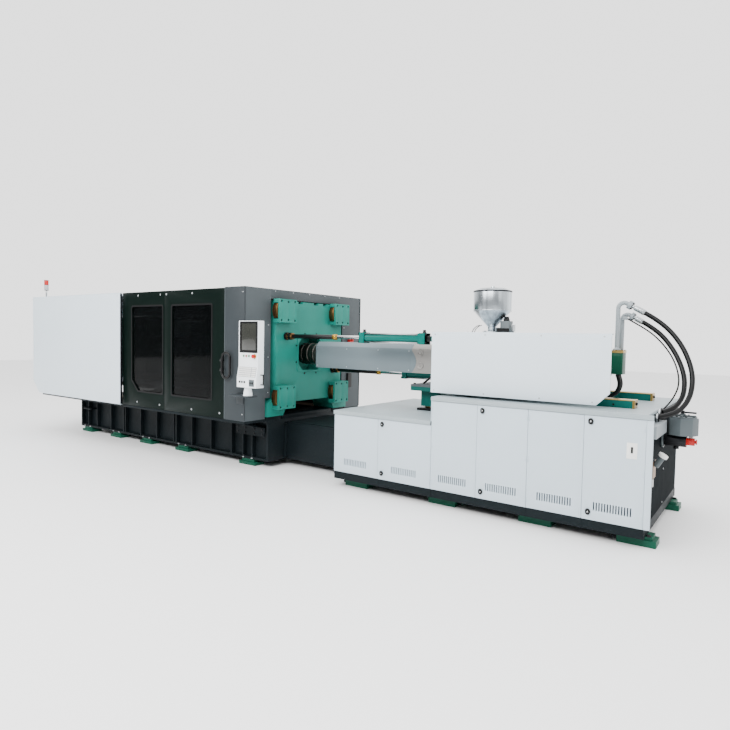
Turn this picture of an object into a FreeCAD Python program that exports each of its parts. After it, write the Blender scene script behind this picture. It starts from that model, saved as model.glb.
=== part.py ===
import FreeCAD, Part
import math
import os
import Sketcher

# Horizontal injection moulding machine with a 650 tonne clamp.
# Machine directions: X runs along the machine from the clamp to the injection unit, with x = 0 on
# the end face of the guard. Y is across the machine, with the operator side at negative y.
# Z is up from the floor. Millimetres.

doc = FreeCAD.newDocument("injection_moulding_machine")
sheet = doc.addObject("Spreadsheet::Sheet", "sizes")


class Size:
    """A length that carries its formula in the sheet and its present value."""

    def __init__(self, text, value):
        self.text = text
        self.value = value

    def __add__(self, other):
        other = as_size(other)
        return Size(f"({self.text} + {other.text})", self.value + other.value)

    def __radd__(self, other):
        return as_size(other) + self

    def __sub__(self, other):
        other = as_size(other)
        return Size(f"({self.text} - {other.text})", self.value - other.value)

    def __rsub__(self, other):
        return as_size(other) - self

    def __mul__(self, factor):
        return Size(f"({self.text} * {float(factor)})", self.value * factor)

    def __rmul__(self, factor):
        return self * factor

    def __truediv__(self, factor):
        return Size(f"({self.text} / {float(factor)})", self.value / factor)

    def __neg__(self):
        return self * -1.0


def as_size(item):
    """Return a plain number as a Size, and a Size as it is."""
    if isinstance(item, Size):
        return item
    return Size(repr(float(item)), float(item))


class Dimensions:
    """The driving dimensions, one attribute for each named cell of the sheet."""


d = Dimensions()
row = 1
DRIVING = (
    # clamp bed
    ("axis_height", 1437, "height of the machine axis above the floor"),
    ("bed_length", 4470, "clamp bed, along the machine"),
    ("bed_half_width", 745, "clamp bed, centreline to outer face"),
    ("bed_bottom", 80, "underside of the clamp bed"),
    ("bed_top", 600, "top of the clamp bed"),
    ("bed_plate", 30, "plate thickness of the clamp bed"),
    ("bed_flange", 60, "flange overhang outside the bed web"),
    ("rib_pitch", 412, "pitch of the bed's side ribs"),
    ("rib_first", 690, "first rib, from the bed's right end"),
    ("rib_thick", 20, "thickness of a rib"),
    ("pad_length", 300, "levelling pad, along the machine"),
    ("pad_depth", 170, "levelling pad, across the machine"),
    ("hook_bar", 16, "radius of a lifting hook's bar"),
    # guards
    ("guard_half_width", 1150, "centreline to the door's outer face"),
    ("guard_bottom", 633, "underside of the guards"),
    ("guard_top", 2248, "top of the guard columns"),
    ("guard_plate", 30, "thickness of a guard column's plate"),
    ("column_width", 356, "width of the guard column"),
    ("column_return", 718, "centreline to the inner edge of the column's end plate"),
    ("door_thick", 40, "thickness of a sliding door"),
    ("door_left", 2551, "left edge of the door, left of the guard's end"),
    ("door_seam", 1560, "seam between the two door leaves"),
    ("door_top", 2240, "top of the sliding doors"),
    ("window_bottom", 855, "bottom of the door windows"),
    ("window_top", 2042, "top of the door windows"),
    ("window_chamfer", 150, "cut corner of the left window"),
    ("glass_thick", 10, "thickness of the window panes"),
    ("pull_radius", 85, "half the width of the door's oval pull"),
    ("pull_height", 337, "height of the door's oval pull"),
    ("pull_bar", 15, "radius of the pull's bar"),
    ("pull_depth", 55, "how far the pull stands out of the door"),
    ("hood_left", 5177, "left end of the hood, left of the guard's end"),
    ("hood_right", 2535, "right edge of the hood's side panels"),
    ("hood_proud", 50, "how far the hood stands outside the doors"),
    ("hood_top", 2236, "top of the hood's side panels"),
    ("hood_cut", 200, "cut lower corner of the hood's side panels"),
    ("hood_plate", 30, "thickness of the hood's folded panels"),
    # platens and tie bars
    ("platen_face", 30, "fixed platen's outer face, right of the guard's end"),
    ("platen_thick", 360, "thickness of the fixed platen"),
    ("platen_half_width", 655, "half the width of the platens"),
    ("platen_half_height", 620, "platen, axis to top or bottom edge"),
    ("platen_foot_inner", 510, "inner edge of a platen foot"),
    ("platen_foot_outer", 790, "outer edge of a platen foot"),
    ("wear_top", 655, "top of the wear rails, under the platen feet"),
    ("tie_spacing_y", 1100, "tie bar spacing, across"),
    ("tie_spacing_z", 1085, "tie bar spacing, upright"),
    ("tie_radius", 82, "radius of a tie bar"),
    ("tie_clearance", 0.3, "radial gap between a tie bar and the moving platen"),
    ("nut_radius", 175, "radius of a tie bar nut"),
    ("nut_flat", 98, "axis to the flat of a tie bar nut"),
    ("nut_length", 78, "length of a tie bar nut"),
    ("box_depth", 110, "nut box, along the machine"),
    ("box_half_width", 152, "half the width of a nut box"),
    ("box_half_height", 146, "half the height of a nut box"),
    ("screw_head", 15, "radius of a socket screw's head"),
    ("pocket_half_width", 240, "half the width of the nozzle pocket"),
    ("pocket_half_height", 222, "half the height of the nozzle pocket"),
    ("pocket_depth", 210, "depth of the nozzle pocket"),
    ("locating_radius", 80, "radius of the mould locating bore"),
    ("locating_depth", 40, "depth of the mould locating bore"),
    ("nozzle_hole", 45, "radius of the nozzle hole through the fixed platen"),
    ("mould_bolt_pitch", 420, "square pitch of the mould bolt holes"),
    ("mould_bolt_radius", 12, "radius of a mould bolt hole"),
    ("mould_bolt_depth", 60, "depth of a mould bolt hole"),
    ("moving_face", 950, "moving platen's mould face, left of the guard's end"),
    ("moving_plate", 400, "thickness of the moving platen's plate"),
    ("moving_body", 600, "depth of the moving platen's ribbed back"),
    ("rear_platen_face", 3900, "cylinder platen's face, left of the guard's end"),
    ("rear_platen_thick", 350, "thickness of the cylinder platen"),
    ("ram_radius", 200, "radius of the clamp ram"),
    ("ram_length", 2250, "length of the clamp ram"),
    ("cylinder_radius", 330, "outer radius of the clamp cylinder"),
    ("cylinder_length", 770, "length of the clamp cylinder"),
    ("ram_clearance", 5, "radial gap between ram and clamp cylinder"),
    # operator panel
    ("panel_left", 38, "left side of the operator panel, right of the guard's end"),
    ("panel_width", 320, "width of the operator panel"),
    ("panel_front", 120, "panel's front, out from the door's face"),
    ("panel_depth", 90, "depth of the operator panel"),
    ("panel_top", 1834, "top of the operator panel"),
    ("panel_step", 1310, "height where the panel's keypad starts"),
    ("panel_nose", 1180, "height where the panel's keypad ends"),
    ("panel_bottom", 1066, "underside of the operator panel"),
    ("keypad_out", 25, "how far the keypad's lower edge stands out"),
    ("button_radius", 9, "radius of a panel push button"),
    ("stop_proud", 34, "how far the emergency stop stands out of the panel"),
    # injection base
    ("base_left", 1150, "left end of the injection base"),
    ("base_right", 4320, "right end of the injection base"),
    ("base_half_width", 854, "centreline to the cabinet doors' face"),
    ("base_bottom", 85, "underside of the injection base"),
    ("door_bottom", 173, "bottom of the cabinet doors"),
    ("low_top", 852, "top of the low part of the base"),
    ("tall_top", 1096, "top of the tall part of the base"),
    ("step_at", 2377, "where the base steps up"),
    ("seam_one", 1739, "seam between cabinet doors 1 and 2"),
    ("seam_three", 2864, "seam between cabinet doors 3 and 4"),
    ("seam_four", 3354, "seam between cabinet doors 4 and 5"),
    ("seam_five", 3837, "seam between cabinet doors 5 and 6"),
    ("cabinet_sheet", 20, "thickness of the cabinet doors and walls"),
    ("door_gap", 3, "gap round a cabinet door"),
    ("top_lip", 42, "height of the lip of the top plates"),
    ("vent_height", 72, "height of a vent slot"),
    ("vent_slot", 11, "width of a vent slot"),
    ("vent_pitch", 22, "pitch of the vent slots"),
    ("extension_half_width", 440, "half the width of the bed extension"),
    ("extension_top", 560, "top of the bed extension"),
    ("foot_length", 300, "base foot, along the machine"),
    # injection unit
    ("rail_inner", 366, "centreline to a guide rail's inner face"),
    ("rail_outer", 486, "centreline to a guide rail's outer face"),
    ("rail_height", 64, "height of a guide rail"),
    ("rail_left", 2420, "left end of the guide rails"),
    ("rail_right", 4135, "right end of the guide rails"),
    ("barrel_radius", 112, "radius of the barrel"),
    ("barrel_head_radius", 140, "radius of the barrel head's heater jacket"),
    ("barrel_tip", 87, "front of the barrel head, left of the guard's end"),
    ("screw_radius", 45, "radius of the screw"),
    ("screw_clearance", 0.3, "radial gap between screw and barrel"),
    ("cover_half_width", 200, "half the width of the barrel cover"),
    ("cover_half_height", 165, "half the height of the barrel cover"),
    ("cover_left", 300, "left end of the barrel cover"),
    ("cover_seam", 1740, "seam between front and rear barrel cover"),
    ("shield_left", 2285, "left end of the injection cover"),
    ("shield_right", 3998, "right end of the injection cover"),
    ("shield_half_width", 720, "centreline to the injection cover's face"),
    ("shield_bottom", 1123, "bottom of the injection cover"),
    ("shield_top", 1738, "top of the injection cover"),
    ("shield_cut", 108, "cut lower corner of the injection cover"),
    ("rod_out", 470, "centreline to a carriage cylinder's axis"),
    ("rod_up", 227, "axis to a carriage cylinder's axis, upright"),
    ("chrome_radius", 22, "radius of a carriage cylinder's rod"),
    ("jack_radius", 57, "radius of a carriage cylinder's body"),
    ("jack_left", 1225, "left end of a carriage cylinder's body"),
    ("jack_right", 2090, "right end of a carriage cylinder's body"),
    ("hopper_at", 2615, "hopper's axis along the machine"),
    ("hopper_radius", 200, "radius of the hopper"),
    ("hopper_top", 2190, "top of the hopper's wall"),
    ("hopper_waist", 1977, "where the hopper's cone starts"),
    ("hopper_neck", 1805, "where the hopper's cone ends"),
    ("hopper_wall", 4, "thickness of the hopper's sheet"),
    ("neck_radius", 42, "radius of the hopper's neck"),
    ("motor_left", 3835, "left face of the motor block"),
    ("motor_right", 3955, "right face of the motor block"),
    ("motor_bottom", 1364, "underside of the motor block"),
    ("motor_top", 1566, "top of the motor block"),
    ("pipe_radius", 20, "radius of the supply pipes"),
    ("hose_radius", 21.5, "radius of the large hoses"),
    ("cable_radius", 7, "radius of the thin cable"),
    ("motor_hose_radius", 18, "radius of the motor hoses"),
    ("filter_at", 4480, "filter can's axis along the machine"),
    ("filter_out", 150, "filter can's axis, from the centreline"),
    ("filter_radius", 125, "filter can, axis to a corner"),
    ("filter_bottom", 870, "underside of the filter can"),
    ("filter_top", 1020, "top of the filter can"),
    # whole machine
    ("floor_gap", 0, "height of the lowest foot above the floor"),
)
for alias, number, words in DRIVING:
    sheet.set(f"A{row}", alias)
    sheet.set(f"B{row}", str(number))
    sheet.set(f"C{row}", words)
    sheet.setAlias(f"B{row}", alias)
    setattr(d, alias, Size(f"sizes.{alias}", float(number)))
    row = row + 1
doc.recompute()

parts = {}


def bind(item, path, size):
    """Bind one property of an object to a size."""
    item.setExpression(path, as_size(size).text)


def place(item, x, y, z):
    """Bind the position of an object."""
    bind(item, "Placement.Base.x", x)
    bind(item, "Placement.Base.y", y)
    bind(item, "Placement.Base.z", z)


def box(x_low, x_high, y_low, y_high, z_low, z_high):
    """A rectangular block between the given limits."""
    item = doc.addObject("Part::Box", "block")
    bind(item, "Length", as_size(x_high) - x_low)
    bind(item, "Width", as_size(y_high) - y_low)
    bind(item, "Height", as_size(z_high) - z_low)
    place(item, x_low, y_low, z_low)
    return item


TURNS = {
    "x": FreeCAD.Rotation(FreeCAD.Vector(0, 1, 0), 90),
    "y": FreeCAD.Rotation(FreeCAD.Vector(1, 0, 0), -90),
    "z": FreeCAD.Rotation(),
}


def rod(axis, x, y, z, length, radius):
    """A round bar that starts at the given point and runs along +axis."""
    item = doc.addObject("Part::Cylinder", "bar")
    item.Placement = FreeCAD.Placement(FreeCAD.Vector(), TURNS[axis])
    bind(item, "Radius", radius)
    bind(item, "Height", length)
    place(item, x, y, z)
    return item


def slanted_rod(start, direction, length, radius):
    """A round bar that starts at a point and runs along any direction."""
    item = doc.addObject("Part::Cylinder", "bar")
    turn = FreeCAD.Rotation(FreeCAD.Vector(0, 0, 1), FreeCAD.Vector(*direction))
    item.Placement = FreeCAD.Placement(FreeCAD.Vector(), turn)
    bind(item, "Radius", radius)
    bind(item, "Height", length)
    place(item, *start)
    return item


def cone(axis, x, y, z, length, radius_low, radius_high):
    """A cone frustum that starts at the given point and runs along +axis."""
    item = doc.addObject("Part::Cone", "taper")
    item.Placement = FreeCAD.Placement(FreeCAD.Vector(), TURNS[axis])
    bind(item, "Radius1", radius_low)
    bind(item, "Radius2", radius_high)
    bind(item, "Height", length)
    place(item, x, y, z)
    return item


def prism(x, y, z, height, corners, radius):
    """An upright regular prism."""
    item = doc.addObject("Part::Prism", "prism")
    item.Polygon = corners
    bind(item, "Circumradius", radius)
    bind(item, "Height", height)
    place(item, x, y, z)
    return item


def group(items):
    """Separate solids held together as one object."""
    item = doc.addObject("Part::Compound", "set")
    item.Links = items
    return item


def fuse(items):
    """Several shapes joined into one solid."""
    item = doc.addObject("Part::MultiFuse", "joined")
    item.Shapes = items
    item.Refine = True
    return item


def cut(base, tools):
    """A shape with tools taken out of it."""
    item = doc.addObject("Part::Cut", "cut")
    item.Base = base
    item.Tool = tools[0] if len(tools) == 1 else group(tools)
    return item


def common(first, second):
    """The part that two shapes share."""
    item = doc.addObject("Part::Common", "shared")
    item.Base = first
    item.Tool = second
    return item


def mirror(item):
    """The same shape on the other side of the machine."""
    other = doc.addObject("Part::Mirroring", "mirrored")
    other.Source = item
    other.Base = FreeCAD.Vector(0, 0, 0)
    other.Normal = FreeCAD.Vector(0, 1, 0)
    return other


def origin_plane(body, role):
    """One of a body's own origin planes."""
    for feature in body.Origin.OriginFeatures:
        if feature.Role == role:
            return feature
    raise ValueError(role)


def pad(role, loops, length, position, toward_high):
    """A body with one padded sketch. Loop points are (across, up) from the position, none negative."""
    body = doc.addObject("PartDesign::Body", "body")
    sketch = body.newObject("Sketcher::SketchObject", "profile")
    sketch.AttachmentSupport = [(origin_plane(body, role), "")]
    sketch.MapMode = "FlatFace"
    first_line = 0
    for loop in loops:
        points = [(as_size(across), as_size(up)) for across, up in loop]
        count = len(points)
        for number in range(count):
            a, b = points[number], points[(number + 1) % count]
            start = FreeCAD.Vector(a[0].value, a[1].value, 0)
            end = FreeCAD.Vector(b[0].value, b[1].value, 0)
            sketch.addGeometry(Part.LineSegment(start, end))
        for number in range(count):
            follower = first_line + (number + 1) % count
            line = first_line + number
            sketch.addConstraint(Sketcher.Constraint("Coincident", line, 2, follower, 1))
        for number in range(count):
            line = first_line + number
            across, up = points[number]
            for kind, size, axis in (("DistanceX", across, -2), ("DistanceY", up, -1)):
                if size.value == 0:
                    sketch.addConstraint(Sketcher.Constraint("PointOnObject", line, 1, axis))
                else:
                    index = sketch.addConstraint(Sketcher.Constraint(kind, -1, 1, line, 1, size.value))
                    sketch.setExpression(f"Constraints[{index}]", size.text)
        first_line = first_line + count
    feature = body.newObject("PartDesign::Pad", "pad")
    feature.Profile = sketch
    bind(feature, "Length", length)
    feature.Reversed = toward_high if role == "XZ_Plane" else not toward_high
    sketch.Visibility = False
    place(body, *position)
    return body


def node(name, item):
    """Name a finished piece and move it into the part's own frame."""
    piece = doc.addObject("Part::Compound", name)
    piece.Links = [item]
    piece.Label = name
    place(piece, origin_x, origin_y, d.floor_gap)
    parts[name] = piece


def route(points, share):
    """Straight runs joined by tangent arcs that take a share of the shorter run. Also the least radius."""
    spots = [FreeCAD.Vector(*point) for point in points]
    edges = []
    start = spots[0]
    smallest = 1e9
    for before, here, after in zip(spots[:-2], spots[1:-1], spots[2:]):
        run_in = here - before
        run_out = after - here
        turn = run_in.getAngle(run_out)
        reach = share * min(run_in.Length, run_out.Length)
        smallest = min(smallest, reach / math.tan(turn / 2))
        toward = FreeCAD.Vector(run_in).normalize()
        away = FreeCAD.Vector(run_out).normalize()
        enter = here - toward * reach
        leave = here + away * reach
        bisector = (away - toward).normalize()
        radius = reach / math.tan(turn / 2)
        middle = here + bisector * (radius / math.cos(turn / 2) - radius)
        edges.append(Part.LineSegment(start, enter).toShape())
        edges.append(Part.Arc(enter, middle, leave).toShape())
        start = leave
    edges.append(Part.LineSegment(start, spots[-1]).toShape())
    wire = Part.Wire(edges)
    return wire, wire.Length, smallest


def tube(name, points, radius, share=0.45):
    """A hose along a route: a disc swept along straight runs and tangent arcs."""
    wire, length, smallest = route(points, share)
    track = doc.addObject("Part::Feature", "track")
    track.Shape = wire
    disc = doc.addObject("Part::Circle", "section")
    direction = FreeCAD.Vector(*points[1]) - FreeCAD.Vector(*points[0])
    turn = FreeCAD.Rotation(FreeCAD.Vector(0, 0, 1), direction)
    disc.Placement = FreeCAD.Placement(FreeCAD.Vector(*points[0]), turn)
    bind(disc, "Radius", radius)
    sweep = doc.addObject("Part::Sweep", "sweep")
    sweep.Sections = [disc]
    sweep.Spine = (track, [f"Edge{number + 1}" for number in range(len(wire.Edges))])
    sweep.Solid = True
    sweep.Frenet = False
    tubes.append((name, sweep, length, as_size(radius).value, smallest))
    return sweep


tubes = []

# The part's origin is under the middle of the machine, on the floor.
left_reach = d.hood_left
right_reach = d.filter_at + d.filter_radius
origin_x = (left_reach - right_reach) / 2.0
front_reach = d.guard_half_width + d.panel_front + d.stop_proud
rear_reach = d.guard_half_width + d.pull_depth
origin_y = (front_reach - rear_reach) / 2.0

# ---------------------------------------------------------------- clamp bed
web = d.bed_half_width - d.bed_flange
bed_left = -d.bed_length
shelf = d.bed_top - d.bed_plate
floor_strip = d.bed_bottom + d.bed_plate
pieces = [box(bed_left, 0, -d.bed_half_width, d.bed_half_width, shelf, d.bed_top)]
for side in (-1, 1):
    low = -d.bed_half_width if side < 0 else web - 120
    high = -(web - 120) if side < 0 else d.bed_half_width
    pieces.append(box(bed_left, 0, low, high, d.bed_bottom, floor_strip))
    low = -web if side < 0 else web - d.bed_plate
    high = -(web - d.bed_plate) if side < 0 else web
    pieces.append(box(bed_left, 0, low, high, floor_strip - 5, shelf + 5))
    ribs = [-(d.rib_first + d.rib_pitch * number) for number in range(9)]
    ribs = ribs + [-(d.bed_length - 220), as_size(-470), as_size(-300)]
    for spot in ribs:
        low = -d.bed_half_width if side < 0 else web - 5
        high = -(web - 5) if side < 0 else d.bed_half_width
        pieces.append(box(spot, spot + d.rib_thick, low, high, floor_strip - 5, shelf + 5))
for spot in (bed_left, -d.bed_length * 0.72, -d.bed_length * 0.42, -d.bed_plate):
    pieces.append(box(spot, spot + d.bed_plate, -d.bed_half_width, d.bed_half_width, d.bed_bottom, d.bed_top))
mould_well = box(-1800, -420, -330, 330, shelf - 20, d.bed_top + 20)
node("clamp_bed", cut(fuse(pieces), [mould_well]))

pads = []
for spot in (-4420, -3560, -2745, -1870, -520):
    outer_low = -(d.bed_half_width + 10)
    lower = box(spot, spot + d.pad_length, outer_low, outer_low + d.pad_depth, 0, d.bed_bottom / 2)
    upper = box(spot + 40, spot + d.pad_length - 40, outer_low + 20, outer_low + d.pad_depth - 20,
                d.bed_bottom / 2, d.bed_bottom)
    pad_pair = fuse([lower, upper])
    pads.append(pad_pair)
    pads.append(mirror(pad_pair))
node("bed_pads", group(pads))

hooks = []
for spot, height in ((-421, 520), (-4287, 400)):
    hook_left = as_size(spot) + d.hook_bar
    hook_right = as_size(spot) + 245 - d.hook_bar
    stem_start = -(web + 1)
    arm_out = -(d.bed_half_width + 55)
    bar_length = hook_right - hook_left
    shape = [rod("y", hook_left, arm_out, height, stem_start - arm_out, d.hook_bar)]
    shape.append(rod("y", hook_right, arm_out, height, stem_start - arm_out, d.hook_bar))
    shape.append(rod("x", hook_left, arm_out, height, bar_length, d.hook_bar))
    hook = fuse(shape)
    hooks.append(hook)
    hooks.append(mirror(hook))
node("lifting_hooks", group(hooks))

half = d.extension_half_width
ext_bottom = d.base_bottom
shell = box(0, d.base_left, -half, half, ext_bottom, d.extension_top)
hollow = box(20, d.base_left - 20, -half + 20, half - 20, ext_bottom - 20, d.extension_top - 20)
well = box(420, 880, -half + 120, half - 120, ext_bottom, d.extension_top + 20)
node("bed_extension", cut(shell, [hollow, well]))

wear = []
for low, high in ((-d.platen_foot_outer + 10, -d.platen_foot_inner - 10),
                  (d.platen_foot_inner + 10, d.platen_foot_outer - 10)):
    wear.append(box(-(d.rear_platen_face + d.rear_platen_thick), 0, low, high, d.bed_top, d.wear_top))
wear.append(box(-360, 0, -d.platen_foot_inner + 12, d.platen_foot_inner - 12,
                d.bed_top, d.wear_top - 5))
node("wear_rails", group(wear))

deck = []
deck_top = d.guard_bottom
deck_front = -(d.guard_half_width - 5)
strip_pieces = [box(-d.hood_left + 200, 0, deck_front, -(d.platen_foot_outer + 15), d.bed_top, deck_top)]
for number in range(5):
    spot = -(4300 - number * 1020)
    strip_pieces.append(box(spot, spot + 60, -900, -d.bed_half_width, d.bed_top - 30, d.bed_top))
strip = fuse(strip_pieces)
deck.append(strip)
deck.append(mirror(strip))
node("guard_deck", group(deck))

# ---------------------------------------------------------------- guards
column_inner = -(d.guard_half_width - d.guard_plate)
front_plate = box(-d.column_width, 0, -d.guard_half_width, column_inner, d.guard_bottom, d.guard_top)
foot_clear_z = d.bed_top + 290
end_plate = box(-d.guard_plate, 0, column_inner - 1, -d.column_return, foot_clear_z, d.guard_top)
foot_clear_y = -(d.platen_foot_outer + 15)
end_plate_low = box(-d.guard_plate, 0, column_inner - 1, foot_clear_y, d.guard_bottom, foot_clear_z + 1)
inner_return = box(-d.column_width, -d.column_width + 20, column_inner - 1, column_inner + 18,
                   d.guard_bottom, d.guard_top)
column = fuse([front_plate, end_plate, end_plate_low, inner_return])
header_bottom = d.axis_height + d.platen_half_height + 70
header = box(-d.guard_plate, 0, -d.column_return, d.column_return, header_bottom, d.guard_top)
rail_y = -(d.guard_half_width - d.door_thick - 6)
rail_left = -d.hood_left + 200
rail_right = -d.column_width - 4
top_rail = box(rail_left, rail_right, rail_y, rail_y + 30, d.hood_top - 110, d.hood_top - 30)
low_rail = box(rail_left, rail_right, rail_y, rail_y + 30, deck_top, deck_top + 40)
stop_box = box(0, 45, 850, 935, 1585, 1680)
stop_knob = rod("x", 45, 892, 1632, 26, 22)
cable_post = box(0, 30, 838, 925, 930, 1140)
frame_pieces = [column, mirror(column), header, top_rail, mirror(top_rail), low_rail, mirror(low_rail)]
node("guard_frame", group(frame_pieces + [stop_box, stop_knob, cable_post]))

hood_y = -(d.guard_half_width + d.hood_proud)
hood_height = d.hood_top - d.guard_bottom
hood_length = d.hood_left - d.hood_right
profile = [
    (d.hood_cut, 0),
    (hood_length, 0),
    (hood_length, hood_height),
    (0, hood_height),
    (0, d.hood_cut),
]
side_panel = pad("XZ_Plane", [profile], d.hood_plate, (-d.hood_left, hood_y, d.guard_bottom), True)
panel_back = hood_y + d.hood_plate
end_panel = box(-d.hood_left, -d.hood_left + d.hood_plate, panel_back, -panel_back,
                d.guard_bottom + d.hood_cut, d.hood_top)
roof_edge = -(d.guard_half_width - d.door_thick - 10)
roof = box(-d.hood_left + d.hood_plate, -d.guard_plate, roof_edge, -roof_edge, d.hood_top - 30, d.hood_top)
node("hood_panels", group([side_panel, mirror(side_panel), end_panel, roof]))

door_base = d.guard_bottom + 3
door_height = d.door_top - door_base
leaf_gap = 2


def door_loops(left, right, window_left, window_right, chamfer):
    """Outline and window of one door leaf, from its lower left corner."""
    wide = left - right
    outline = [(0, 0), (wide, 0), (wide, door_height), (0, door_height)]
    low = d.window_bottom - door_base
    high = d.window_top - door_base
    inner_left = left - window_left
    inner_right = left - window_right
    window = [(inner_left + chamfer, low), (inner_right, low), (inner_right, high), (inner_left, high)]
    if as_size(chamfer).value > 0:
        window.append((inner_left, low + chamfer))
    else:
        window = [(inner_left, low), (inner_right, low), (inner_right, high), (inner_left, high)]
    return outline, window


door_y = -d.guard_half_width
left_outline, left_window = door_loops(d.door_left, d.door_seam + leaf_gap, as_size(2320), as_size(1600),
                                       d.window_chamfer)
leaf_end = d.column_width + leaf_gap
right_outline, right_window = door_loops(d.door_seam, leaf_end, as_size(1400), as_size(590), 0)
left_leaf = pad("XZ_Plane", [left_outline, left_window], d.door_thick,
                (-d.door_left, door_y, door_base), True)
right_leaf = pad("XZ_Plane", [right_outline, right_window], d.door_thick,
                 (-d.door_seam, door_y, door_base), True)
# The two leaves are carried by one bottom and one top channel, so they slide together.
tie_strip = box(-d.door_seam - 60, -d.door_seam + 60, door_y + d.door_thick, door_y + d.door_thick + 4,
                d.guard_bottom + 60, d.guard_bottom + 160)
pull_axis = -(d.column_width - 77)
pull_z = as_size(1298)
pull_y = door_y - d.pull_depth + d.pull_bar
pull_bars = []
straight = d.pull_height - d.pull_radius * 2
half_straight = straight / 2
ring_radius = d.pull_radius - d.pull_bar
for sign in (-1, 1):
    upright_x = pull_axis + sign * ring_radius
    pull_bars.append(rod("z", upright_x, pull_y, pull_z - half_straight, straight, d.pull_bar))
for sign in (-1, 1):
    arch = doc.addObject("Part::Torus", "arch")
    arch.Placement = FreeCAD.Placement(FreeCAD.Vector(), FreeCAD.Rotation(FreeCAD.Vector(1, 0, 0), 90))
    bind(arch, "Radius1", ring_radius)
    bind(arch, "Radius2", d.pull_bar)
    place(arch, pull_axis, pull_y, pull_z + sign * half_straight)
    half_space = box(pull_axis - d.pull_radius - 5, pull_axis + d.pull_radius + 5, pull_y - 40, pull_y + 40,
                     pull_z + half_straight if sign > 0 else pull_z - half_straight - d.pull_radius - 5,
                     pull_z + half_straight + d.pull_radius + 5 if sign > 0 else pull_z - half_straight)
    pull_bars.append(common(arch, half_space))
for sign in (-1, 1):
    lug_z = pull_z + sign * 60
    pull_bars.append(box(pull_axis - d.pull_radius - 32, pull_axis - ring_radius, pull_y, door_y - 6,
                         lug_z - 14, lug_z + 14))
    pull_bars.append(box(pull_axis - d.pull_radius - 32, -d.column_width - 6, door_y - 7, door_y,
                         lug_z - 14, lug_z + 14))
pull = fuse(pull_bars)
door_group = group([left_leaf, right_leaf, tie_strip, pull])
node("front_door", door_group)
node("rear_door", group([mirror(left_leaf), mirror(right_leaf), mirror(tie_strip), mirror(pull)]))

glass_y = door_y + (d.door_thick - d.glass_thick) / 2
left_pane = pad("XZ_Plane", [left_window], d.glass_thick, (-d.door_left, glass_y, door_base), True)
right_pane = pad("XZ_Plane", [right_window], d.glass_thick, (-d.door_seam, glass_y, door_base), True)
node("front_window", group([left_pane, right_pane]))
node("rear_window", group([mirror(left_pane), mirror(right_pane)]))

pole_x = -(d.hood_left - 180)
pole_y = -(d.guard_half_width - 90)
lamp = [rod("z", pole_x, pole_y, d.hood_top, 10, 45)]
lamp.append(rod("z", pole_x, pole_y, d.hood_top + 10, 120, 12))
lamp.append(rod("z", pole_x, pole_y, d.hood_top + 130, 90, 34))
lamp.append(rod("z", pole_x, pole_y, d.hood_top + 220, 80, 34))
node("signal_light", group(lamp))

# ---------------------------------------------------------------- platens
axis = d.axis_height
tie_y = d.tie_spacing_y / 2
tie_z = d.tie_spacing_z / 2
corners = [(side * tie_y, axis + level * tie_z) for side in (-1, 1) for level in (-1, 1)]


def bored(x_start, length, radius):
    """The four tie bar holes through a platen."""
    return [rod("x", x_start, y, z, length, radius) for y, z in corners]


def platen_plate(x_low, x_high, top):
    """A platen's plate with its two feet and bevelled belly."""
    belly = axis - d.platen_half_height
    half_width = d.platen_half_width
    outer = d.platen_foot_outer
    inner = d.platen_foot_inner
    high = top - d.wear_top
    waist = belly - d.wear_top
    outline = [
        (0, 0),
        (outer - inner, 0),
        (outer - inner + 90, waist),
        (outer + inner - 90, waist),
        (outer + inner, 0),
        (outer * 2, 0),
        (outer * 2, waist),
        (outer + half_width, waist + 90),
        (outer + half_width, high),
        (outer - half_width, high),
        (outer - half_width, waist + 90),
        (0, waist),
    ]
    return pad("YZ_Plane", [outline], as_size(x_high) - x_low, (x_low, -outer, d.wear_top), True)


platen_top = axis + d.platen_half_height + 57
platen_back = d.platen_face - d.platen_thick
plate = platen_plate(platen_back, d.platen_face, platen_top)
tools = bored(platen_back - 10, d.platen_thick + 20, d.tie_radius)
pocket_low = d.platen_face - d.pocket_depth
pw = d.pocket_half_width
ph = d.pocket_half_height
bevel = 90
pocket_outline = [
    (bevel, 0),
    (pw * 2 - bevel, 0),
    (pw * 2, bevel),
    (pw * 2, ph * 2 - bevel),
    (pw * 2 - bevel, ph * 2),
    (bevel, ph * 2),
    (0, ph * 2 - bevel),
    (0, bevel),
]
tools.append(pad("YZ_Plane", [pocket_outline], d.pocket_depth + 10, (pocket_low, -pw, axis - ph), True))
tools.append(rod("x", platen_back - 10, 0, axis, d.platen_thick, d.nozzle_hole))
tools.append(rod("x", platen_back - 10, 0, axis, d.locating_depth + 10, d.locating_radius))
bolt = d.mould_bolt_pitch / 2
for side in (-1, 1):
    for level in (-1, 1):
        tools.append(rod("x", platen_back - 10, side * bolt, axis + level * bolt, d.mould_bolt_depth + 10,
                         d.mould_bolt_radius))
for spot in (-250, 60, 250):
    tools.append(box(platen_back - 10, d.platen_face + 10, spot, spot + 90, platen_top - 28, platen_top + 10))
node("fixed_platen", cut(plate, tools))

bar_left = -(d.rear_platen_face + d.rear_platen_thick + d.nut_length)
bar_right = d.platen_face + d.nut_length
bars = [rod("x", bar_left, y, z, bar_right - bar_left, d.tie_radius) for y, z in corners]
node("tie_bars", group(bars))

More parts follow.
